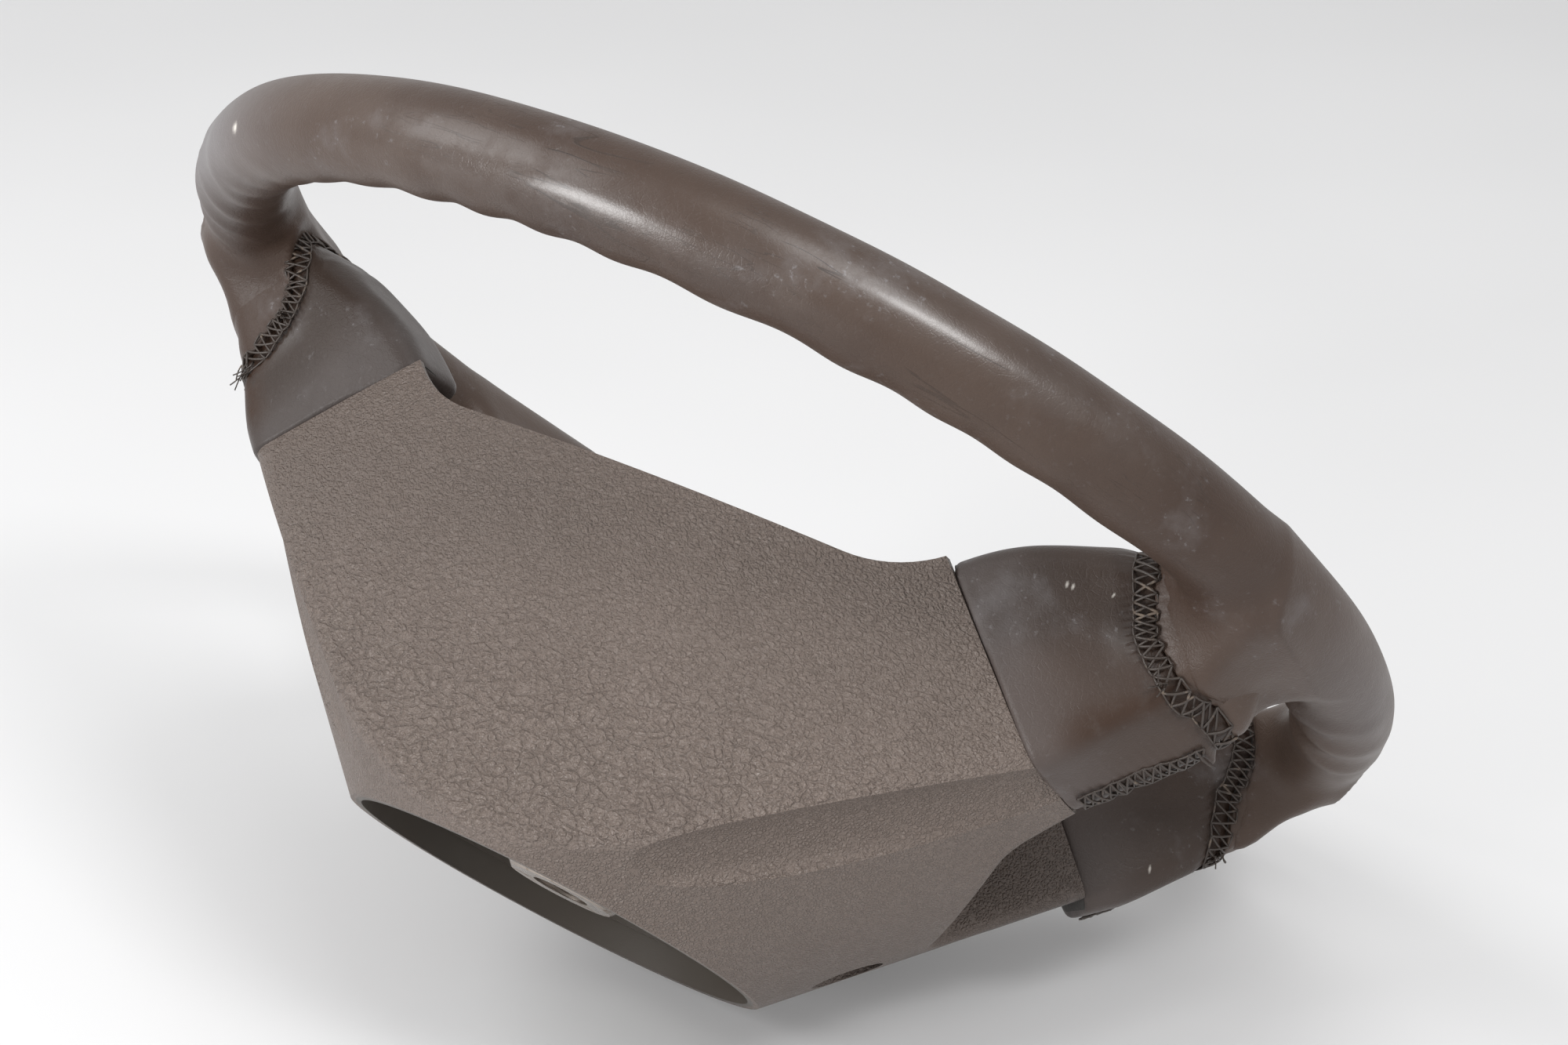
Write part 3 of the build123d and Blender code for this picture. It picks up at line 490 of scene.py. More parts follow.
def shroud_plastic(name):
    """Pressed leather grain: glossy pebbles and creases on the upper wall, finer and duller on the cone,
    with painted shade on the lower arms and in the grain's valleys.
    """
    m = Shader(name)
    upward = m.math("MULTIPLY", m.ramp(m.normal("Z"), 0.60, 0.86), m.ramp(m.position("Z"), 0.030, 0.048))
    tone = m.noise(7.0, 3.0, 0.5)
    drift = m.noise(60.0, 5.0, 0.6)
    colour = m.mix(m.ramp(tone, 0.3, 0.7, 0.0, 0.5), SHROUD_TAUPE, SHROUD_DARK)
    # painted shade: the lower arms are coloured darker towards the bottom, as if shaded by the upper arms
    low_arm_shade = m.ramp(m.position("Z"), -0.060, -0.036, 0.75, 0.0)
    colour = m.mix(low_arm_shade, colour, LOW_ARM_PAINTED_SHADE)
    slanted = m.scaled(m.coordinates, (1.0, 1.35, 1.0))
    near = m.ramp(m.position("Y"), -0.085, -0.025, 0.30, 1.0)
    wrinkles = m.ramp(m.cells(215.0, vector=m.warped(slanted, 95.0, 0.010)), 0.0, 0.17)
    wrinkles = m.math("MULTIPLY", wrinkles, near)
    pebbles = m.ramp(m.cells(520.0, vector=m.warped(slanted, 300.0, 0.0028)), 0.0, 0.34)
    buds = m.ramp(m.cells(1050.0, vector=m.warped(m.coordinates, 520.0, 0.0011)), 0.0, 0.36)
    small = m.ramp(m.cells(900.0, vector=m.warped(m.coordinates, 400.0, 0.0014)), 0.0, 0.34)
    large = m.math("ADD", m.math("MULTIPLY", pebbles, 0.40), m.math("MULTIPLY", wrinkles, 0.52))
    large = m.math("ADD", large, m.math("MULTIPLY", buds, 0.20))
    height = m.add("ShaderNodeMix", data_type="FLOAT")
    m.link(upward, height.inputs["Factor"])
    m.link(m.math("MULTIPLY", small, 0.45), height.inputs["A"])
    m.link(large, height.inputs["B"])
    relief = height.outputs["Result"]
    # painted shade: the grain's valleys and creases are coloured darker
    colour = m.mix(m.ramp(relief, 0.0, 0.6, 0.35, 0.0), colour, SHROUD_DARK)
    span = m.math("POWER", m.math("ADD", m.math("MULTIPLY", m.position("X"), m.position("X")),
                                  m.math("MULTIPLY", m.position("Z"), m.position("Z"))), 0.5)
    inside = m.ramp(span, COLLAR_INSIDE - 0.0004, COLLAR_INSIDE + 0.0004, 1.0, 0.0)
    colour = m.mix(inside, colour, COLLAR_BROWN)
    plain = m.add("ShaderNodeMix", data_type="FLOAT")
    m.link(inside, plain.inputs["Factor"])
    m.link(relief, plain.inputs["A"])
    plain.inputs["B"].default_value = 0.3
    normal = m.bump(plain.outputs["Result"], 0.0010, 0.9)
    normal = m.bump(m.noise(2600.0, 3.0, 0.6), 0.00008, 0.5, normal)
    rough = m.math("SUBTRACT", m.ramp(drift, 0.25, 0.75, 0.40, 0.50),
                   m.math("MULTIPLY", m.math("MULTIPLY", upward, near), 0.18))
    return m.finish(colour, rough, normal, specular=0.42)


def metal(name, base, stain, rough_low, rough_high, turned):
    """Bare or plated metal with fine working marks and darker stains."""
    m = Shader(name)
    spots = m.ramp(m.noise(140.0, 5.0, 0.65), 0.54, 0.72)
    colour = m.mix(spots, base, stain)
    if turned:
        marks = m.noise(900.0, 2.0, 0.5, m.scaled(m.coordinates, (0.15, 3.0, 0.15)))
    else:
        marks = m.noise(800.0, 3.0, 0.6)
    rough = m.math("ADD", m.ramp(marks, 0.3, 0.7, rough_low, rough_high), m.math("MULTIPLY", spots, 0.2))
    normal = m.bump(marks, 0.00006, 0.5)
    return m.finish(colour, rough, normal, metallic=1.0)


def moulded(name, base, dark, scale, depth, rough_low, rough_high):
    """Plain plastic, foam or cloth: drifting tone over a fine even texture."""
    m = Shader(name)
    colour = m.mix(m.ramp(m.noise(45.0, 4.0, 0.6), 0.3, 0.75), base, dark)
    texture = m.noise(scale, 4.0, 0.6)
    rough = m.ramp(texture, 0.3, 0.7, rough_low, rough_high)
    return m.finish(colour, rough, m.bump(texture, depth, 0.6))


def thread(name):
    """Waxed dark lacing, worn pale in places."""
    m = Shader(name)
    worn = m.ramp(m.noise(210.0, 3.0, 0.6), 0.56, 0.74)
    colour = m.mix(worn, THREAD_DARK, THREAD_WORN)
    twist = m.noise(2400.0, 2.0, 0.6)
    return m.finish(colour, m.ramp(worn, 0.0, 1.0, 0.42, 0.7), m.bump(twist, 0.00012, 0.7))


MATERIALS = {
    "rim": leather("aged_rim_leather", RIM_BROWN, RIM_DEEP, RIM_FADED, True),
    "boot": leather("aged_boot_leather", BOOT_BROWN, BOOT_DEEP, RIM_FADED, False, BOOT_SCUFF),
    "shroud": shroud_plastic("grained_moulding"),
    "thread": thread("dark_lacing"),
    "turned": metal("turned_steel", (0.38, 0.33, 0.29), (0.14, 0.09, 0.06), 0.22, 0.40, True),
    "steel": metal("rolled_steel", (0.40, 0.40, 0.40), (0.22, 0.18, 0.14), 0.35, 0.55, False),
    "plated": metal("plated_steel", (0.60, 0.57, 0.50), (0.40, 0.34, 0.24), 0.28, 0.45, False),
    "alloy": metal("cast_alloy", (0.46, 0.46, 0.45), (0.25, 0.24, 0.22), 0.48, 0.66, False),
    "brass": metal("contact_brass", (0.62, 0.44, 0.17), (0.30, 0.20, 0.08), 0.25, 0.42, True),
    "foam": moulded("rim_foam", (0.05, 0.046, 0.042), (0.03, 0.028, 0.026), 900.0, 0.0003, 0.6, 0.8),
    "bush": moulded("bush_plastic", (0.66, 0.64, 0.58), (0.55, 0.52, 0.45), 1200.0, 0.00008, 0.35, 0.5),
    "cloth": moulded("cushion_cloth", (0.50, 0.47, 0.42), (0.40, 0.37, 0.32), 1800.0, 0.0003, 0.75, 0.9),
}
NODE_MATERIALS = {
    "rim_core": "steel", "hub_spider": "alloy", "hub_boss": "turned", "rim_foam": "foam",
    "rear_shroud": "shroud", "shroud_screws": "plated", "horn_plate": "steel", "guide_bolts": "plated",
    "guide_bushes": "bush", "horn_springs": "steel", "fixed_contacts": "brass", "moving_contacts": "brass",
    "module_can": "steel", "inflator": "turned", "cushion_retainer": "steel", "retainer_nuts": "plated",
    "folded_cushion": "cloth", "pad_cover": "shroud", "pad_rivets": "plated", "module_screws": "plated",
}
for node, key in NODE_MATERIALS.items():
    NODES[node].data.materials.clear()
    NODES[node].data.materials.append(MATERIALS[key])


# Rim cover
RIM_STEPS = 760
TUBE_STEPS = 124
BLEND = 15.0
MARCH_STEP = 0.6
MARCH_END = 78.0
SECTOR = math.radians(26.0)
SLACK = 1.1
# The cover's root lies under the arm's skin at the lacing, rises to it, and is trimmed by the rim.
ROOT_SINK = 2.2
ROOT_RISE = 2.7
ROOT_TRIM = 2.6
# Places on the grip in degrees; round the tube 0 is outward and 90 the back. Finger rests and folds have a
# middle and a width round the tube, each fold has its clock and size, nub and nick their clock and tube.
FINGERS_AT = (118.0, 40.0)
FINGER_PITCH = 25.0
FOLDS_AT = (95.0, 62.0)
FOLDS = ((66.0, 1.0), (60.5, 1.1), (54.5, 1.0), (48.0, 0.7), (-92.0, 0.7), (-98.0, 1.0), (-104.0, 1.1))
NUB_AT = (50.4, 6.5)
NICK_AT = (36.6, 27.9)


def cover_distance(points, arm):
    """Rim and one arm's root as one soft form, cut off at the lacing."""
    ring = np.hypot(np.hypot(points[:, 0], points[:, 2]) - RING, points[:, 1]) - TUBE
    side, share, angle = arm.distance(points)
    grow = ROOT_RISE * smooth_step(share, 0.52, 0.72) - ROOT_SINK
    grow = grow - ROOT_TRIM * smooth_step(share, 0.90, 1.04)
    cut = (np.maximum(arm.lace(angle) + 0.06, 0.56) - share) * arm.reach
    root = -soft_min(-(side - grow), -cut, 2.0)
    root = np.maximum(root, (share - 1.0) * arm.reach)
    return soft_min(ring, root, BLEND)


def exit_radius(centres, directions, arm):
    """Distance from the tube's middle to the soft form's skin, along each direction."""
    radius = np.full(len(centres), TUBE)
    active = np.ones(len(centres), bool)
    last = np.full(len(centres), -TUBE)
    for r in np.arange(TUBE - 3.0, MARCH_END, MARCH_STEP):
        index = np.flatnonzero(active)
        if len(index) == 0:
            break
        value = cover_distance(centres[index] + directions[index] * r, arm)
        out = value > 0
        done = index[out]
        share = value[out] / np.maximum(value[out] - last[done], 1e-6)
        radius[done] = r - MARCH_STEP * np.clip(share, 0, 1)
        active[done] = False
        last[index] = value
    return radius


def make_rim_cover():
    clock = np.linspace(-np.pi, np.pi, RIM_STEPS, endpoint=False)
    turn = np.linspace(-np.pi, np.pi, TUBE_STEPS, endpoint=False)
    u, v = [a.ravel() for a in np.meshgrid(clock, turn, indexing="ij")]
    radial = np.stack([np.sin(u), np.zeros_like(u), np.cos(u)], -1)
    centres = radial * RING
    directions = radial * np.cos(v)[:, None] + np.array([0.0, 1.0, 0.0]) * np.sin(v)[:, None]
    radius = np.full(len(u), TUBE)
    for arm in ARMS:
        heading = math.atan2(arm.outward[0], arm.outward[2])
        gap = np.abs((u - heading + np.pi) % (2 * np.pi) - np.pi)
        near = np.flatnonzero(gap < SECTOR)
        found = exit_radius(centres[near], directions[near], arm)
        radius[near] = np.maximum(radius[near], found)
    points = centres + directions * radius[:, None]
    normals = vertex_normals(points, RIM_STEPS, TUBE_STEPS)
    du = np.degrees(u)
    dv = np.degrees(v)
    swell = np.zeros(len(u))
    # finger rests along the inner back of the grip
    pitch = FINGER_PITCH - 4.5 * np.sin(u)
    height = 0.75 + 0.45 * np.sin(u * 7.3 + 1.0) * np.sin(u * 3.1)
    fingers = np.sin(u * RING * 2 * np.pi / pitch + 1.3 * np.sin(u * 9)) * bell(dv, *FINGERS_AT)
    swell += 0.6 * height * fingers
    # slack folds where the grip turns into the upper arm on one side and below the lower arm on the other
    for at, size in FOLDS:
        lean = at + 0.05 * (dv - 90.0)
        fold = 0.6 * bell(du, lean + 2.8, 1.7) - bell(du, lean, 1.35)
        swell += size * fold * bell(dv, *FOLDS_AT)
    uneven = Waves(14, 26.0, 80.0)
    swell += 0.3 * uneven(points)
    free = smooth_step(radius, TUBE + 16.0, TUBE + 4.0)
    # torn nub on the outer side
    swell += 2.4 * bell(du, NUB_AT[0], 0.7) * bell(dv, NUB_AT[1], 9.0)
    swell += 0.9 * bell(du, NUB_AT[0] + 1.4, 0.9) * bell(dv, NUB_AT[1] - 6.5, 14.0)
    swell = np.maximum(swell, -SLACK) * free
    points = points + normals * swell[:, None]
    crack = bell(dv, 8.0, 58.0) * free * smooth_step(np.abs(du - 40.0), 12.0, 26.0)
    crack = crack * smooth_step(du, -68.0, -54.0)
    fade = 0.8 * bell(du, 48.0, 14.0) * bell(dv, 20.0, 55.0)
    fade = fade + 0.3 * bell(du, -90.0, 14.0) * bell(dv, 20.0, 50.0)
    gloss = bell(dv, 30.0, 32.0) * smooth_step(du, 22.0, 6.0) * smooth_step(du, -34.0, -18.0)
    second = bell(dv, -2.0, 24.0) * smooth_step(du, -14.0, -24.0) * smooth_step(du, -58.0, -44.0)
    gloss = np.maximum(gloss, second)
    nick = 1.4 * bell(du, NICK_AT[0], 0.32) * bell(dv, NICK_AT[1], 4.2)
    attributes = {"along": u * RING * MM, "around": v * TUBE * MM, "crack": crack,
                  "fade": np.clip(fade, 0, 1), "gloss": gloss,
                  "pale": np.clip(nick, 0, 1)}
    faces = grid_faces(RIM_STEPS, TUBE_STEPS, True, True).tolist()
    piece = new_piece("rim_cover", points, faces, MATERIALS["rim"], attributes)
    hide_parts("rim_leather")
    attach(piece, "wheel")


# Spoke boots
BOOT_ROWS = 64
BOOT_COLUMNS = 168
BACK_ROW_AT = 0.30
BACK_ROW_WIDTH = 3.0
LOW_CORNER = math.radians(-36.0)
CORNER_SAG = 5.5
CORNER_WIDTH = 0.30
BOOT_LIFT = 0.95
BOOT_CROWN = 0.8
BOOT_UNEVEN = 0.22
PULLS_ROUND = 46
PULLS_ALONG = 92
# Where each boot is drawn in at the seam: angle round the section, depth
TUCKS = {"upper": (2.8, 1.8), "lower": (0.1, 0.8)}
BOOT_TURNED_IN = (4.0, 1.4)
# Leather bed under the lacing: rows as shares of the lacing's gap, how far each lies from the skin, and
# where it stands past the boot's own rows, which run from 0 to 1
BED_ROWS = (0.1, 0.5, 0.9, 1.0)
BED_LIFTS = (-0.7, -0.9, -1.2, -3.0)
BED_MARKS = (1.02, 1.04, 1.07, 1.1)
FLECKS = {"upper_left": ((0.589, 125.9), (0.612, 123.7), (0.853, 110.4)), "lower_left": ((0.51, 14.0),)}


def back_row_angle(arm, share, step):
    """Angle round the section of the closing seam, which runs along the arm's back above its lower edge."""
    top, bottom = arm.section(np.array(share))[1:3]
    spot = bottom + (top - bottom) * BACK_ROW_AT + unit(top - bottom) * step
    return math.atan2(spot[1], spot[0])


def skin_grid(arm, shares, angle):
    """Evened points of the solid arm's skin on a grid of shares and angles, ways out and radii."""
    skin = np.zeros((*shares.shape, 3))
    for i in range(shares.shape[0]):
        for j in range(shares.shape[1]):
            skin[i, j] = arm.surface(shares[i, j], angle[j])
    centre = arm.axis(shares)[0]
    outward = unit(skin - centre)
    radius = np.linalg.norm(skin - centre, axis=-1)
    for _ in range(SKIN_PASSES):
        padded = np.concatenate([radius[:1], radius, radius[-1:]])
        radius = 0.25 * padded[:-2] + 0.5 * radius + 0.25 * padded[2:]
        radius = 0.25 * np.roll(radius, 1, 1) + 0.5 * radius + 0.25 * np.roll(radius, -1, 1)
    return centre + outward * radius[..., None], outward, radius


def low_corner(angle):
    """Angle from the low back corner of an upper arm's section."""
    return (angle - LOW_CORNER + np.pi) % (2 * np.pi) - np.pi


def corner_sag(arm, angle, share=1.0):
    """How far the slack leather of one arm hangs out at its low corner, most by the lacing."""
    return arm.slack * (1.0 + CORNER_SAG * share) * bell(low_corner(angle), 0.0, CORNER_WIDTH)


def gathers(angle):
    """Small pulls that the lacing makes in an edge."""
    return np.sin(angle * PULLS_ROUND + 3 * np.sin(angle * 3))


def make_boot(arm):
    start = SEAM_GAP / arm.reach
    angle = np.linspace(0, 2 * np.pi, BOOT_COLUMNS, endpoint=False)
    end = arm.lace(angle) - arm.band(angle)
    t = np.linspace(0, 1, BOOT_ROWS)
    shares = start + t[:, None] * (end - start)
    skin, outward, radius = skin_grid(arm, shares, angle)
    middle = np.array([[back_row_angle(arm, s, 0.0) for s in row] for row in shares])
    seam_line = ((angle - middle + np.pi) % (2 * np.pi) - np.pi) * radius
    tt = np.repeat(t, BOOT_COLUMNS)
    aa = np.tile(angle, BOOT_ROWS)
    row = seam_line.ravel()
    flat = skin.reshape(-1, 3)
    waves = Waves(10, 16.0, 46.0)
    swell = BOOT_LIFT + BOOT_CROWN * np.sin(np.pi * np.clip(tt, 0, 1)) ** 0.8 + BOOT_UNEVEN * waves(flat)
    # the lacing gathers the edge, and the closing seam along the back sits in a shallow trough
    swell += smooth_step(tt, 0.86, 1.0) * (0.28 * gathers(aa) - 0.9)
    pulls = np.sin(tt * PULLS_ALONG + 0.6 * np.sin(tt * 31)) * bell(row, 0.0, 7.0)
    swell += 0.16 * pulls - 0.7 * bell(row, 0.0, BACK_ROW_WIDTH * 1.2) * smooth_step(tt, 0.06, 0.12)
    swell -= 0.55 * smooth_step(tt, 0.025, 0.0)
    swell += corner_sag(arm, aa, smooth_step(tt, 0.0, 1.0))
    # drawn in at the seam: the front of the upper boots, the back edge of the lower ones
    tuck, depth = TUCKS[arm.level]
    swell -= depth * bell((aa - tuck + np.pi) % (2 * np.pi) - np.pi, 0.0, 0.5) * smooth_step(tt, 0.5, 0.0)
    flat = flat + outward.reshape(-1, 3) * swell[:, None]
    skin = flat.reshape(BOOT_ROWS, BOOT_COLUMNS, 3)
    bed_shares = end + np.array(BED_ROWS)[:, None] * 2 * arm.band(angle)
    bed, bed_out = skin_grid(arm, bed_shares, angle)[:2]
    bed = bed + bed_out * (corner_sag(arm, angle) + np.array(BED_LIFTS)[:, None])[..., None]
    into = arm.axis(shares[0])[1]
    if arm.level == "lower":
        into = np.zeros_like(into)
    turned_in = [(skin[0] - outward[0] * d - into)[None] for d in BOOT_TURNED_IN]
    closed = np.concatenate([*turned_in, skin, bed])
    t_all = np.repeat(np.concatenate([np.zeros(len(turned_in)), t, BED_MARKS]), BOOT_COLUMNS)
    a_all = np.tile(np.degrees(angle), len(closed))
    scuff = 0.8 * smooth_step(t_all, 1.0, 1.02)
    if arm.level == "upper":
        scuff = np.maximum(scuff, bell(a_all, 18.0, 8.0) * smooth_step(t_all, 0.05, 0.5))
        scuff = np.maximum(scuff, 0.8 * bell(a_all, 24.0, 18.0) * bell(t_all, 0.95, 0.15))
    fade = 0.12 * bell(t_all, 0.1, 0.3)
    polish = bell(t_all, 0.90, 0.12) * bell(a_all, 62.0, 26.0) * (arm.level == "upper")
    pale = np.zeros(len(a_all))
    for at, turn in FLECKS.get(arm.name, ()):
        pale[np.argmin(np.abs(t_all - at) * 60 + np.abs(a_all - turn))] = 0.65
    faces = turned(grid_faces(len(closed), BOOT_COLUMNS, False, True), arm.side)
    piece = new_piece(f"boot_{arm.name}", closed.reshape(-1, 3), faces, MATERIALS["boot"],
                      {"scuff": np.clip(0.85 * scuff, 0, 1), "fade": fade, "gloss": polish, "pale": pale})
    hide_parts(f"spoke_boot_{arm.name}")
    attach(piece, "wheel")


# Webs of the rim cover, from the lacing to where they sink into the grip
WEB_ROWS = 34
WEB_MIDDLE_START = 0.6
WEB_END = 0.92
WEB_LIFT = 0.55
WEB_UNEVEN = 0.25
WEB_SINK = 4.0
WEB_SINK_FROM = 0.75
WEB_TURNED_IN = (2.5, 0.6)


def make_web(arm):
    angle = np.linspace(0, 2 * np.pi, BOOT_COLUMNS, endpoint=False)
    start = np.minimum(arm.lace(angle) + arm.band(angle), WEB_END - 0.03)
    t = np.linspace(0, 1, WEB_ROWS)
    shares = start + t[:, None] * (WEB_END - start)
    skin, outward, radius = skin_grid(arm, shares, angle)
    flat = skin.reshape(-1, 3)
    tt = np.repeat(t, BOOT_COLUMNS)
    aa = np.tile(angle, WEB_ROWS)
    waves = Waves(10, 14.0, 40.0)
    swell = WEB_LIFT + WEB_UNEVEN * waves(flat)
    swell -= WEB_SINK * smooth_step(shares.ravel(), WEB_SINK_FROM, WEB_END)
    swell += smooth_step(tt, 0.22, 0.0) * (0.12 * gathers(aa) - 0.3)
    swell += corner_sag(arm, aa) * smooth_step(tt, 1.3, 0.2)
    flat = flat + outward.reshape(-1, 3) * swell[:, None]
    skin = flat.reshape(WEB_ROWS, BOOT_COLUMNS, 3)
    turned_in = [(skin[0] - outward[0] * d)[None] for d in WEB_TURNED_IN]
    closed = np.concatenate([*turned_in, skin])
    t_all = np.repeat(np.concatenate([np.zeros(len(turned_in)), t]), BOOT_COLUMNS)
    along = t_all * arm.reach * (WEB_END - WEB_MIDDLE_START) * MM
    around = np.tile(angle, len(closed)) * radius.mean() * MM
    attributes = dict.fromkeys(("crack", "fade", "gloss", "pale"), np.zeros(len(t_all)))
    attributes |= {"along": along, "around": around}
    faces = turned(grid_faces(len(closed), BOOT_COLUMNS, False, True), arm.side)
    piece = new_piece(f"web_{arm.name}", closed, faces, MATERIALS["rim"], attributes)
    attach(piece, "wheel")


# Lacing
STITCH_PITCH = 2.7
BACK_STITCHES = 15
THREAD = 0.40
EDGE_LIFT = 0.9
EDGE_SPARE = 0.7
BACK_LIFT = 1.75
# Loose ends: share, degrees round the section, pull, how many, length
FRAYS = {
    "upper_right": ((0.42, 21.0, (0.1, 0.9, -0.3), 9, 9.0), (0.52, 75.0, (-0.5, 0.2, 0.4), 8, 4.0)),
    "upper_left": ((0.22, -20.0, (-0.1, 0.6, -0.2), 5, 4.0), (0.58, 25.0, (0.4, 0.3, 0.3), 5, 4.5)),
    "lower_left": ((0.57, 6.0, (0.1, 0.5, -0.5), 6, 4.5),),
}


def crossing(start, end, lift, middle, steps=7):
    """One thread from edge to edge, arched a little over the gap."""
    t = np.linspace(0, 1, steps)[:, None]
    path = start * (1 - t) + end * t
    return path + unit(path - middle) * (np.sin(np.pi * t) * lift)


def add_frays(tubes, root, outward, pull, count, length):
    """Loose thread ends that leave the lacing and curl away."""
    for _ in range(count):
        start = root + rng.normal(0, 0.9, 3)
        aim = unit(outward * 0.5 + pull + rng.normal(0, 0.35, 3))
        bend = rng.normal(0, 0.35, 3)
        s = np.linspace(0, 1, 8)[:, None] * length * rng.uniform(0.5, 1.1)
        tubes.add(start + aim * s + bend * s ** 2 / length, THREAD * 0.55)


def lace_steps(arm):
    """Angles in even steps along the lacing, and the way across it, round and along the arm."""
    dense = np.linspace(0, 2 * np.pi, 721)
    run = np.stack([dense * LACE_RADIUS, arm.lace(dense) * arm.reach], -1)
    length = np.concatenate([[0.0], np.cumsum(np.linalg.norm(np.diff(run, axis=0), axis=1))])
    count = int(length[-1] / STITCH_PITCH)
    angle = np.interp(np.linspace(0, length[-1], count, endpoint=False), length, dense)
    angle = angle + rng.normal(0, 0.015, count)
    return angle, unit(np.stack([-arm.lace_slope(angle), np.ones(count)], -1))


def make_lacing(arm):
    tubes = Tubes()
    angle, across = lace_steps(arm)
    count = len(angle)
    lace = arm.lace(angle)
    half = LACE_BAND / 2 + EDGE_SPARE
    edges = []
    for side in (-1, 1):
        shares = lace + side * across[:, 1] * half / arm.reach
        angles = angle + side * across[:, 0] * half / LACE_RADIUS
        lifts = EDGE_LIFT + corner_sag(arm, angles)
        edge = [arm.surface(s, a, lift) for s, a, lift in zip(shares, angles, lifts)]
        edges.append(np.array(edge) + rng.normal(0, 0.28, (count, 3)))
    near, far = edges
    middle = arm.axis(np.array(float(lace.mean())))[0]
    for i in range(count):
        after = (i + 1) % count
        tubes.add(crossing(near[i], far[after], 0.35, middle), THREAD)
        tubes.add(crossing(far[i], near[after], 0.7, middle), THREAD)
        tubes.add(crossing(near[i], near[after], 0.25, middle, 5), THREAD * 0.8)
        if i % 2 == 0:
            tubes.add(crossing(far[i], far[after], 0.25, middle, 5), THREAD * 0.8)
    shares = np.linspace(0.09, 0.93, BACK_STITCHES + 1)
    lines = []
    for step in (-BACK_ROW_WIDTH, BACK_ROW_WIDTH):
        line = []
        for t in shares:
            share = t * float(arm.lace(-0.4) - arm.band(-0.4))
            turn = back_row_angle(arm, share, step)
            lift = BACK_LIFT + corner_sag(arm, turn, smooth_step(t, 0.0, 1.0))
            line.append(arm.surface(share, turn, lift))
        lines.append(np.array(line) + rng.normal(0, 0.25, (BACK_STITCHES + 1, 3)))
    for i in range(BACK_STITCHES):
        tubes.add(crossing(lines[0][i], lines[1][i + 1], 0.35, middle), THREAD)
        tubes.add(crossing(lines[1][i], lines[0][i + 1], 0.7, middle), THREAD)
        for line in lines:
            tubes.add(crossing(line[i], line[i + 1], 0.15, middle, 5), THREAD * 0.8)
    for share, turn, pull, ends, length in FRAYS.get(arm.name, ()):
        root = arm.surface(share, math.radians(turn), 1.0)
        outward = unit(root - arm.axis(np.array(share))[0])
        add_frays(tubes, root, outward, np.array(pull), ends, length)
    piece = tubes.piece(f"lacing_{arm.name}", MATERIALS["thread"])
    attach(piece, "wheel")


for arm in ARMS:
    make_boot(arm)
    make_web(arm)
    make_lacing(arm)
make_rim_cover()


def make_springs():
    mesh = NODES["horn_springs"].data.copy()
    piece = bpy.data.objects.new("springs", mesh)
    bpy.context.scene.collection.objects.link(piece)
    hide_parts("horn_springs")
    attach(piece, "wheel")
    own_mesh(piece)


make_springs()

# Stage: a pale table a little below the wheel, tilted as if the collar and the lower rim lay on it
FLOOR_NORMAL = Vector((0.087, -0.683, 0.725)).normalized()
FLOOR_SIZE = 6.0
FLOOR_DROP = 0.010
FLOOR_PALE = (0.82, 0.82, 0.825)
FLOOR_SHADE = (0.80, 0.80, 0.805)
WORLD_LIGHT = 0.56
WORLD_SEEN = 0.86
# Lamps: place, target, size, power
LAMPS = {
    "key": ((1.10, -0.25, 1.50), (0.25, -0.25, 0.15), (1.4, 1.2), 15.5),
    "overhead": ((-0.55, -1.05, 1.35), (0, -0.1, 0), (1.1, 0.9), 7.5),
    "window": ((0.60, 0.97, 1.36), (0, -0.1, 0.1), (0.45, 0.6), 14.5),
    "strip": ((-1.02, -0.73, 1.28), (0, -0.14, 0.15), (0.30, 0.5), 8.0),
}


def lowest(normal):
    """Lowest reach of the solids along a direction."""
    clouds = [np.array([v.co for v in node.data.vertices], float) for node in NODES.values()]
    return min(float((cloud @ np.array(normal)).min()) for cloud in clouds)


def make_floor():
    m = Shader("pale_table")
    geometry = m.add("ShaderNodeNewGeometry")
    clear = m.add("ShaderNodeBsdfTransparent")
    blend = m.add("ShaderNodeMixShader")
    output = m.tree.nodes["Material Output"]
    speck = m.ramp(m.noise(3.0, 2.0, 0.5), 0.3, 0.7, 0.0, 1.0)
    m.finish(m.mix(speck, FLOOR_PALE, FLOOR_SHADE), 0.6, specular=0.2)
    m.link(geometry.outputs["Backfacing"], blend.inputs["Fac"])
    m.link(m.bsdf.outputs["BSDF"], blend.inputs[1])
    m.link(clear.outputs["BSDF"], blend.inputs[2])
    m.link(blend.outputs["Shader"], output.inputs["Surface"])
    bpy.ops.mesh.primitive_plane_add(size=FLOOR_SIZE)
    floor = bpy.context.object
    floor.name = "table"
    floor.rotation_mode = "QUATERNION"
    floor.rotation_quaternion = Vector((0, 0, 1)).rotation_difference(FLOOR_NORMAL)
    floor.location = FLOOR_NORMAL * (lowest(FLOOR_NORMAL) - FLOOR_DROP)
    floor.data.materials.append(m.material)


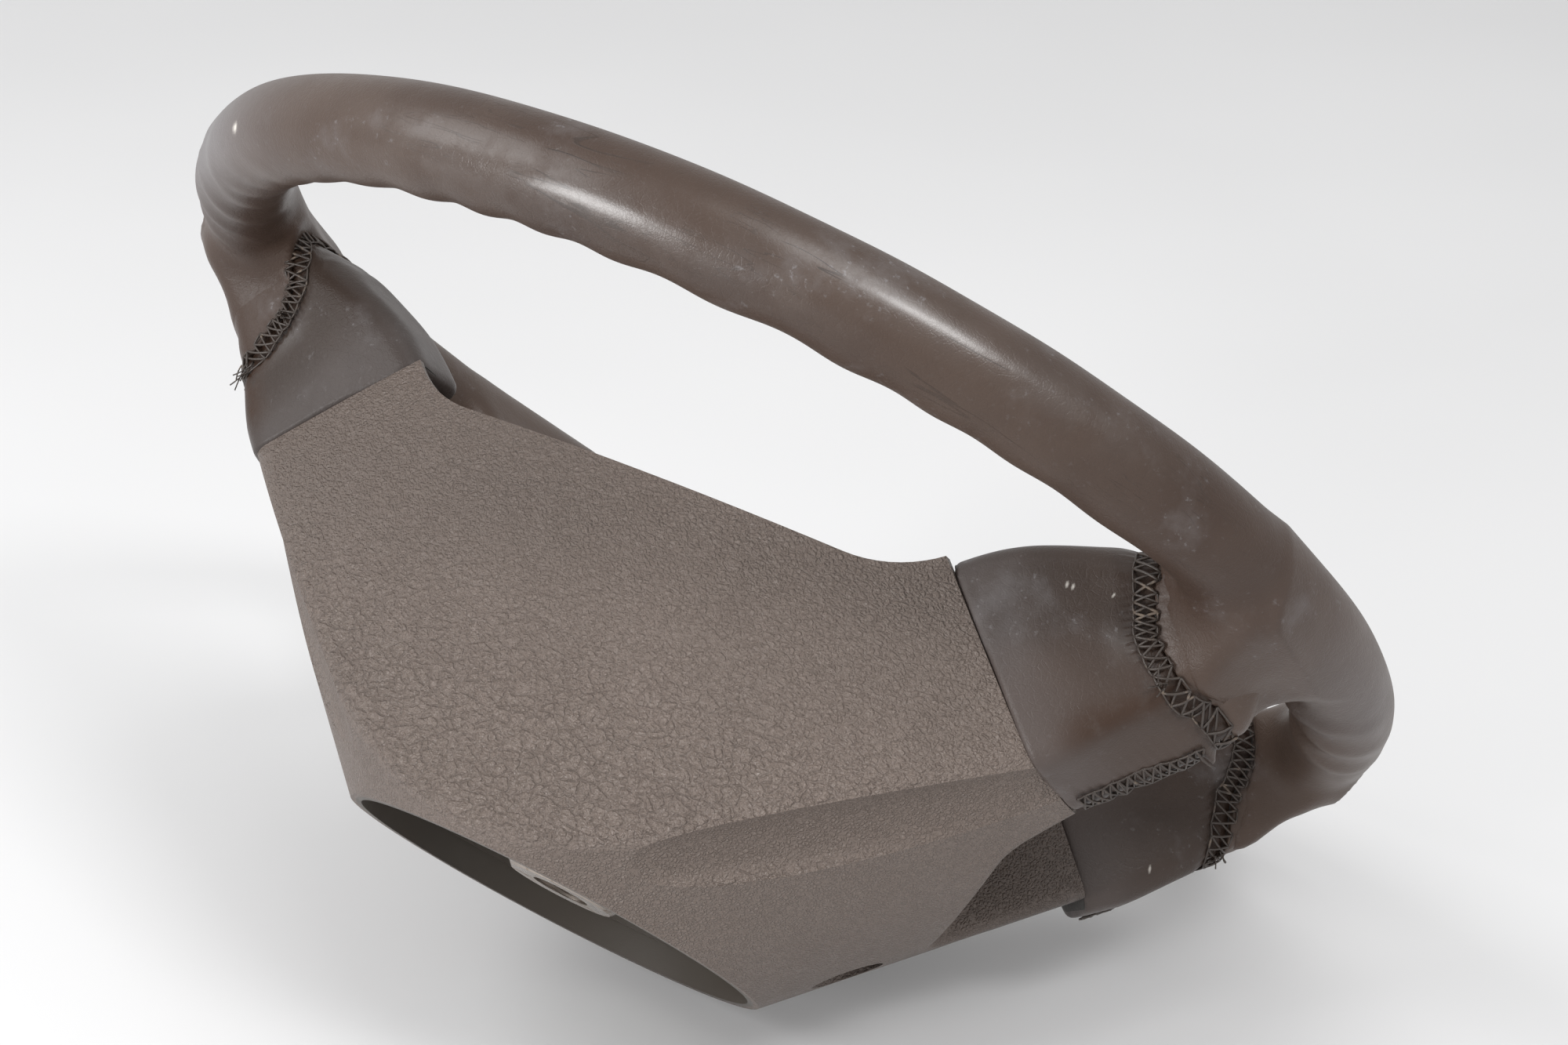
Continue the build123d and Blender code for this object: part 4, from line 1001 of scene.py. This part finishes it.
def area_light(name, place, target, size, power):
    data = bpy.data.lights.new(name, "AREA")
    data.shape = "RECTANGLE"
    data.size, data.size_y = size
    data.energy = power
    lamp = bpy.data.objects.new(name, data)
    lamp.location = place
    lamp.rotation_mode = "QUATERNION"
    lamp.rotation_quaternion = (Vector(target) - Vector(place)).to_track_quat("-Z", "Y")
    bpy.context.scene.collection.objects.link(lamp)


def make_world():
    world = bpy.data.worlds.new("studio")
    bpy.context.scene.world = world
    world.use_nodes = True
    tree = world.node_tree
    background = tree.nodes["Background"]
    path = tree.nodes.new("ShaderNodeLightPath")
    seen = path.outputs["Is Camera Ray"]
    for ray in ("Is Glossy Ray", "Is Transmission Ray"):
        larger = tree.nodes.new("ShaderNodeMath")
        larger.operation = "MAXIMUM"
        tree.links.new(seen, larger.inputs[0])
        tree.links.new(path.outputs[ray], larger.inputs[1])
        seen = larger.outputs["Value"]
    strength = tree.nodes.new("ShaderNodeMapRange")
    tree.links.new(seen, strength.inputs["Value"])
    strength.inputs["To Min"].default_value = WORLD_LIGHT
    strength.inputs["To Max"].default_value = WORLD_SEEN
    tree.links.new(strength.outputs["Result"], background.inputs["Strength"])
    background.inputs["Color"].default_value = (1.0, 1.0, 1.0, 1.0)


# Camera, fitted to the rim's outline
CAMERA_PLACE = (-0.434, 0.079, 0.799)
CAMERA_RIGHT = (-0.831, -0.450, -0.324)
CAMERA_FORWARD = (0.457, -0.225, -0.860)
LENS = 69.92


def make_camera():
    data = bpy.data.cameras.new("camera")
    data.sensor_width = 36.0
    data.lens = LENS
    camera = bpy.data.objects.new("camera", data)
    forward = Vector(CAMERA_FORWARD).normalized()
    right = Vector(CAMERA_RIGHT)
    right = (right - forward * right.dot(forward)).normalized()
    up = right.cross(forward)
    turn = Matrix((right, up, -forward)).transposed().to_4x4()
    camera.matrix_world = Matrix.Translation(CAMERA_PLACE) @ turn
    bpy.context.scene.collection.objects.link(camera)
    bpy.context.scene.camera = camera


make_floor()
make_world()
make_camera()
for lamp, (place, target, size, power) in LAMPS.items():
    area_light(lamp, place, target, size, power)
bpy.context.scene.view_settings.view_transform = "Standard"
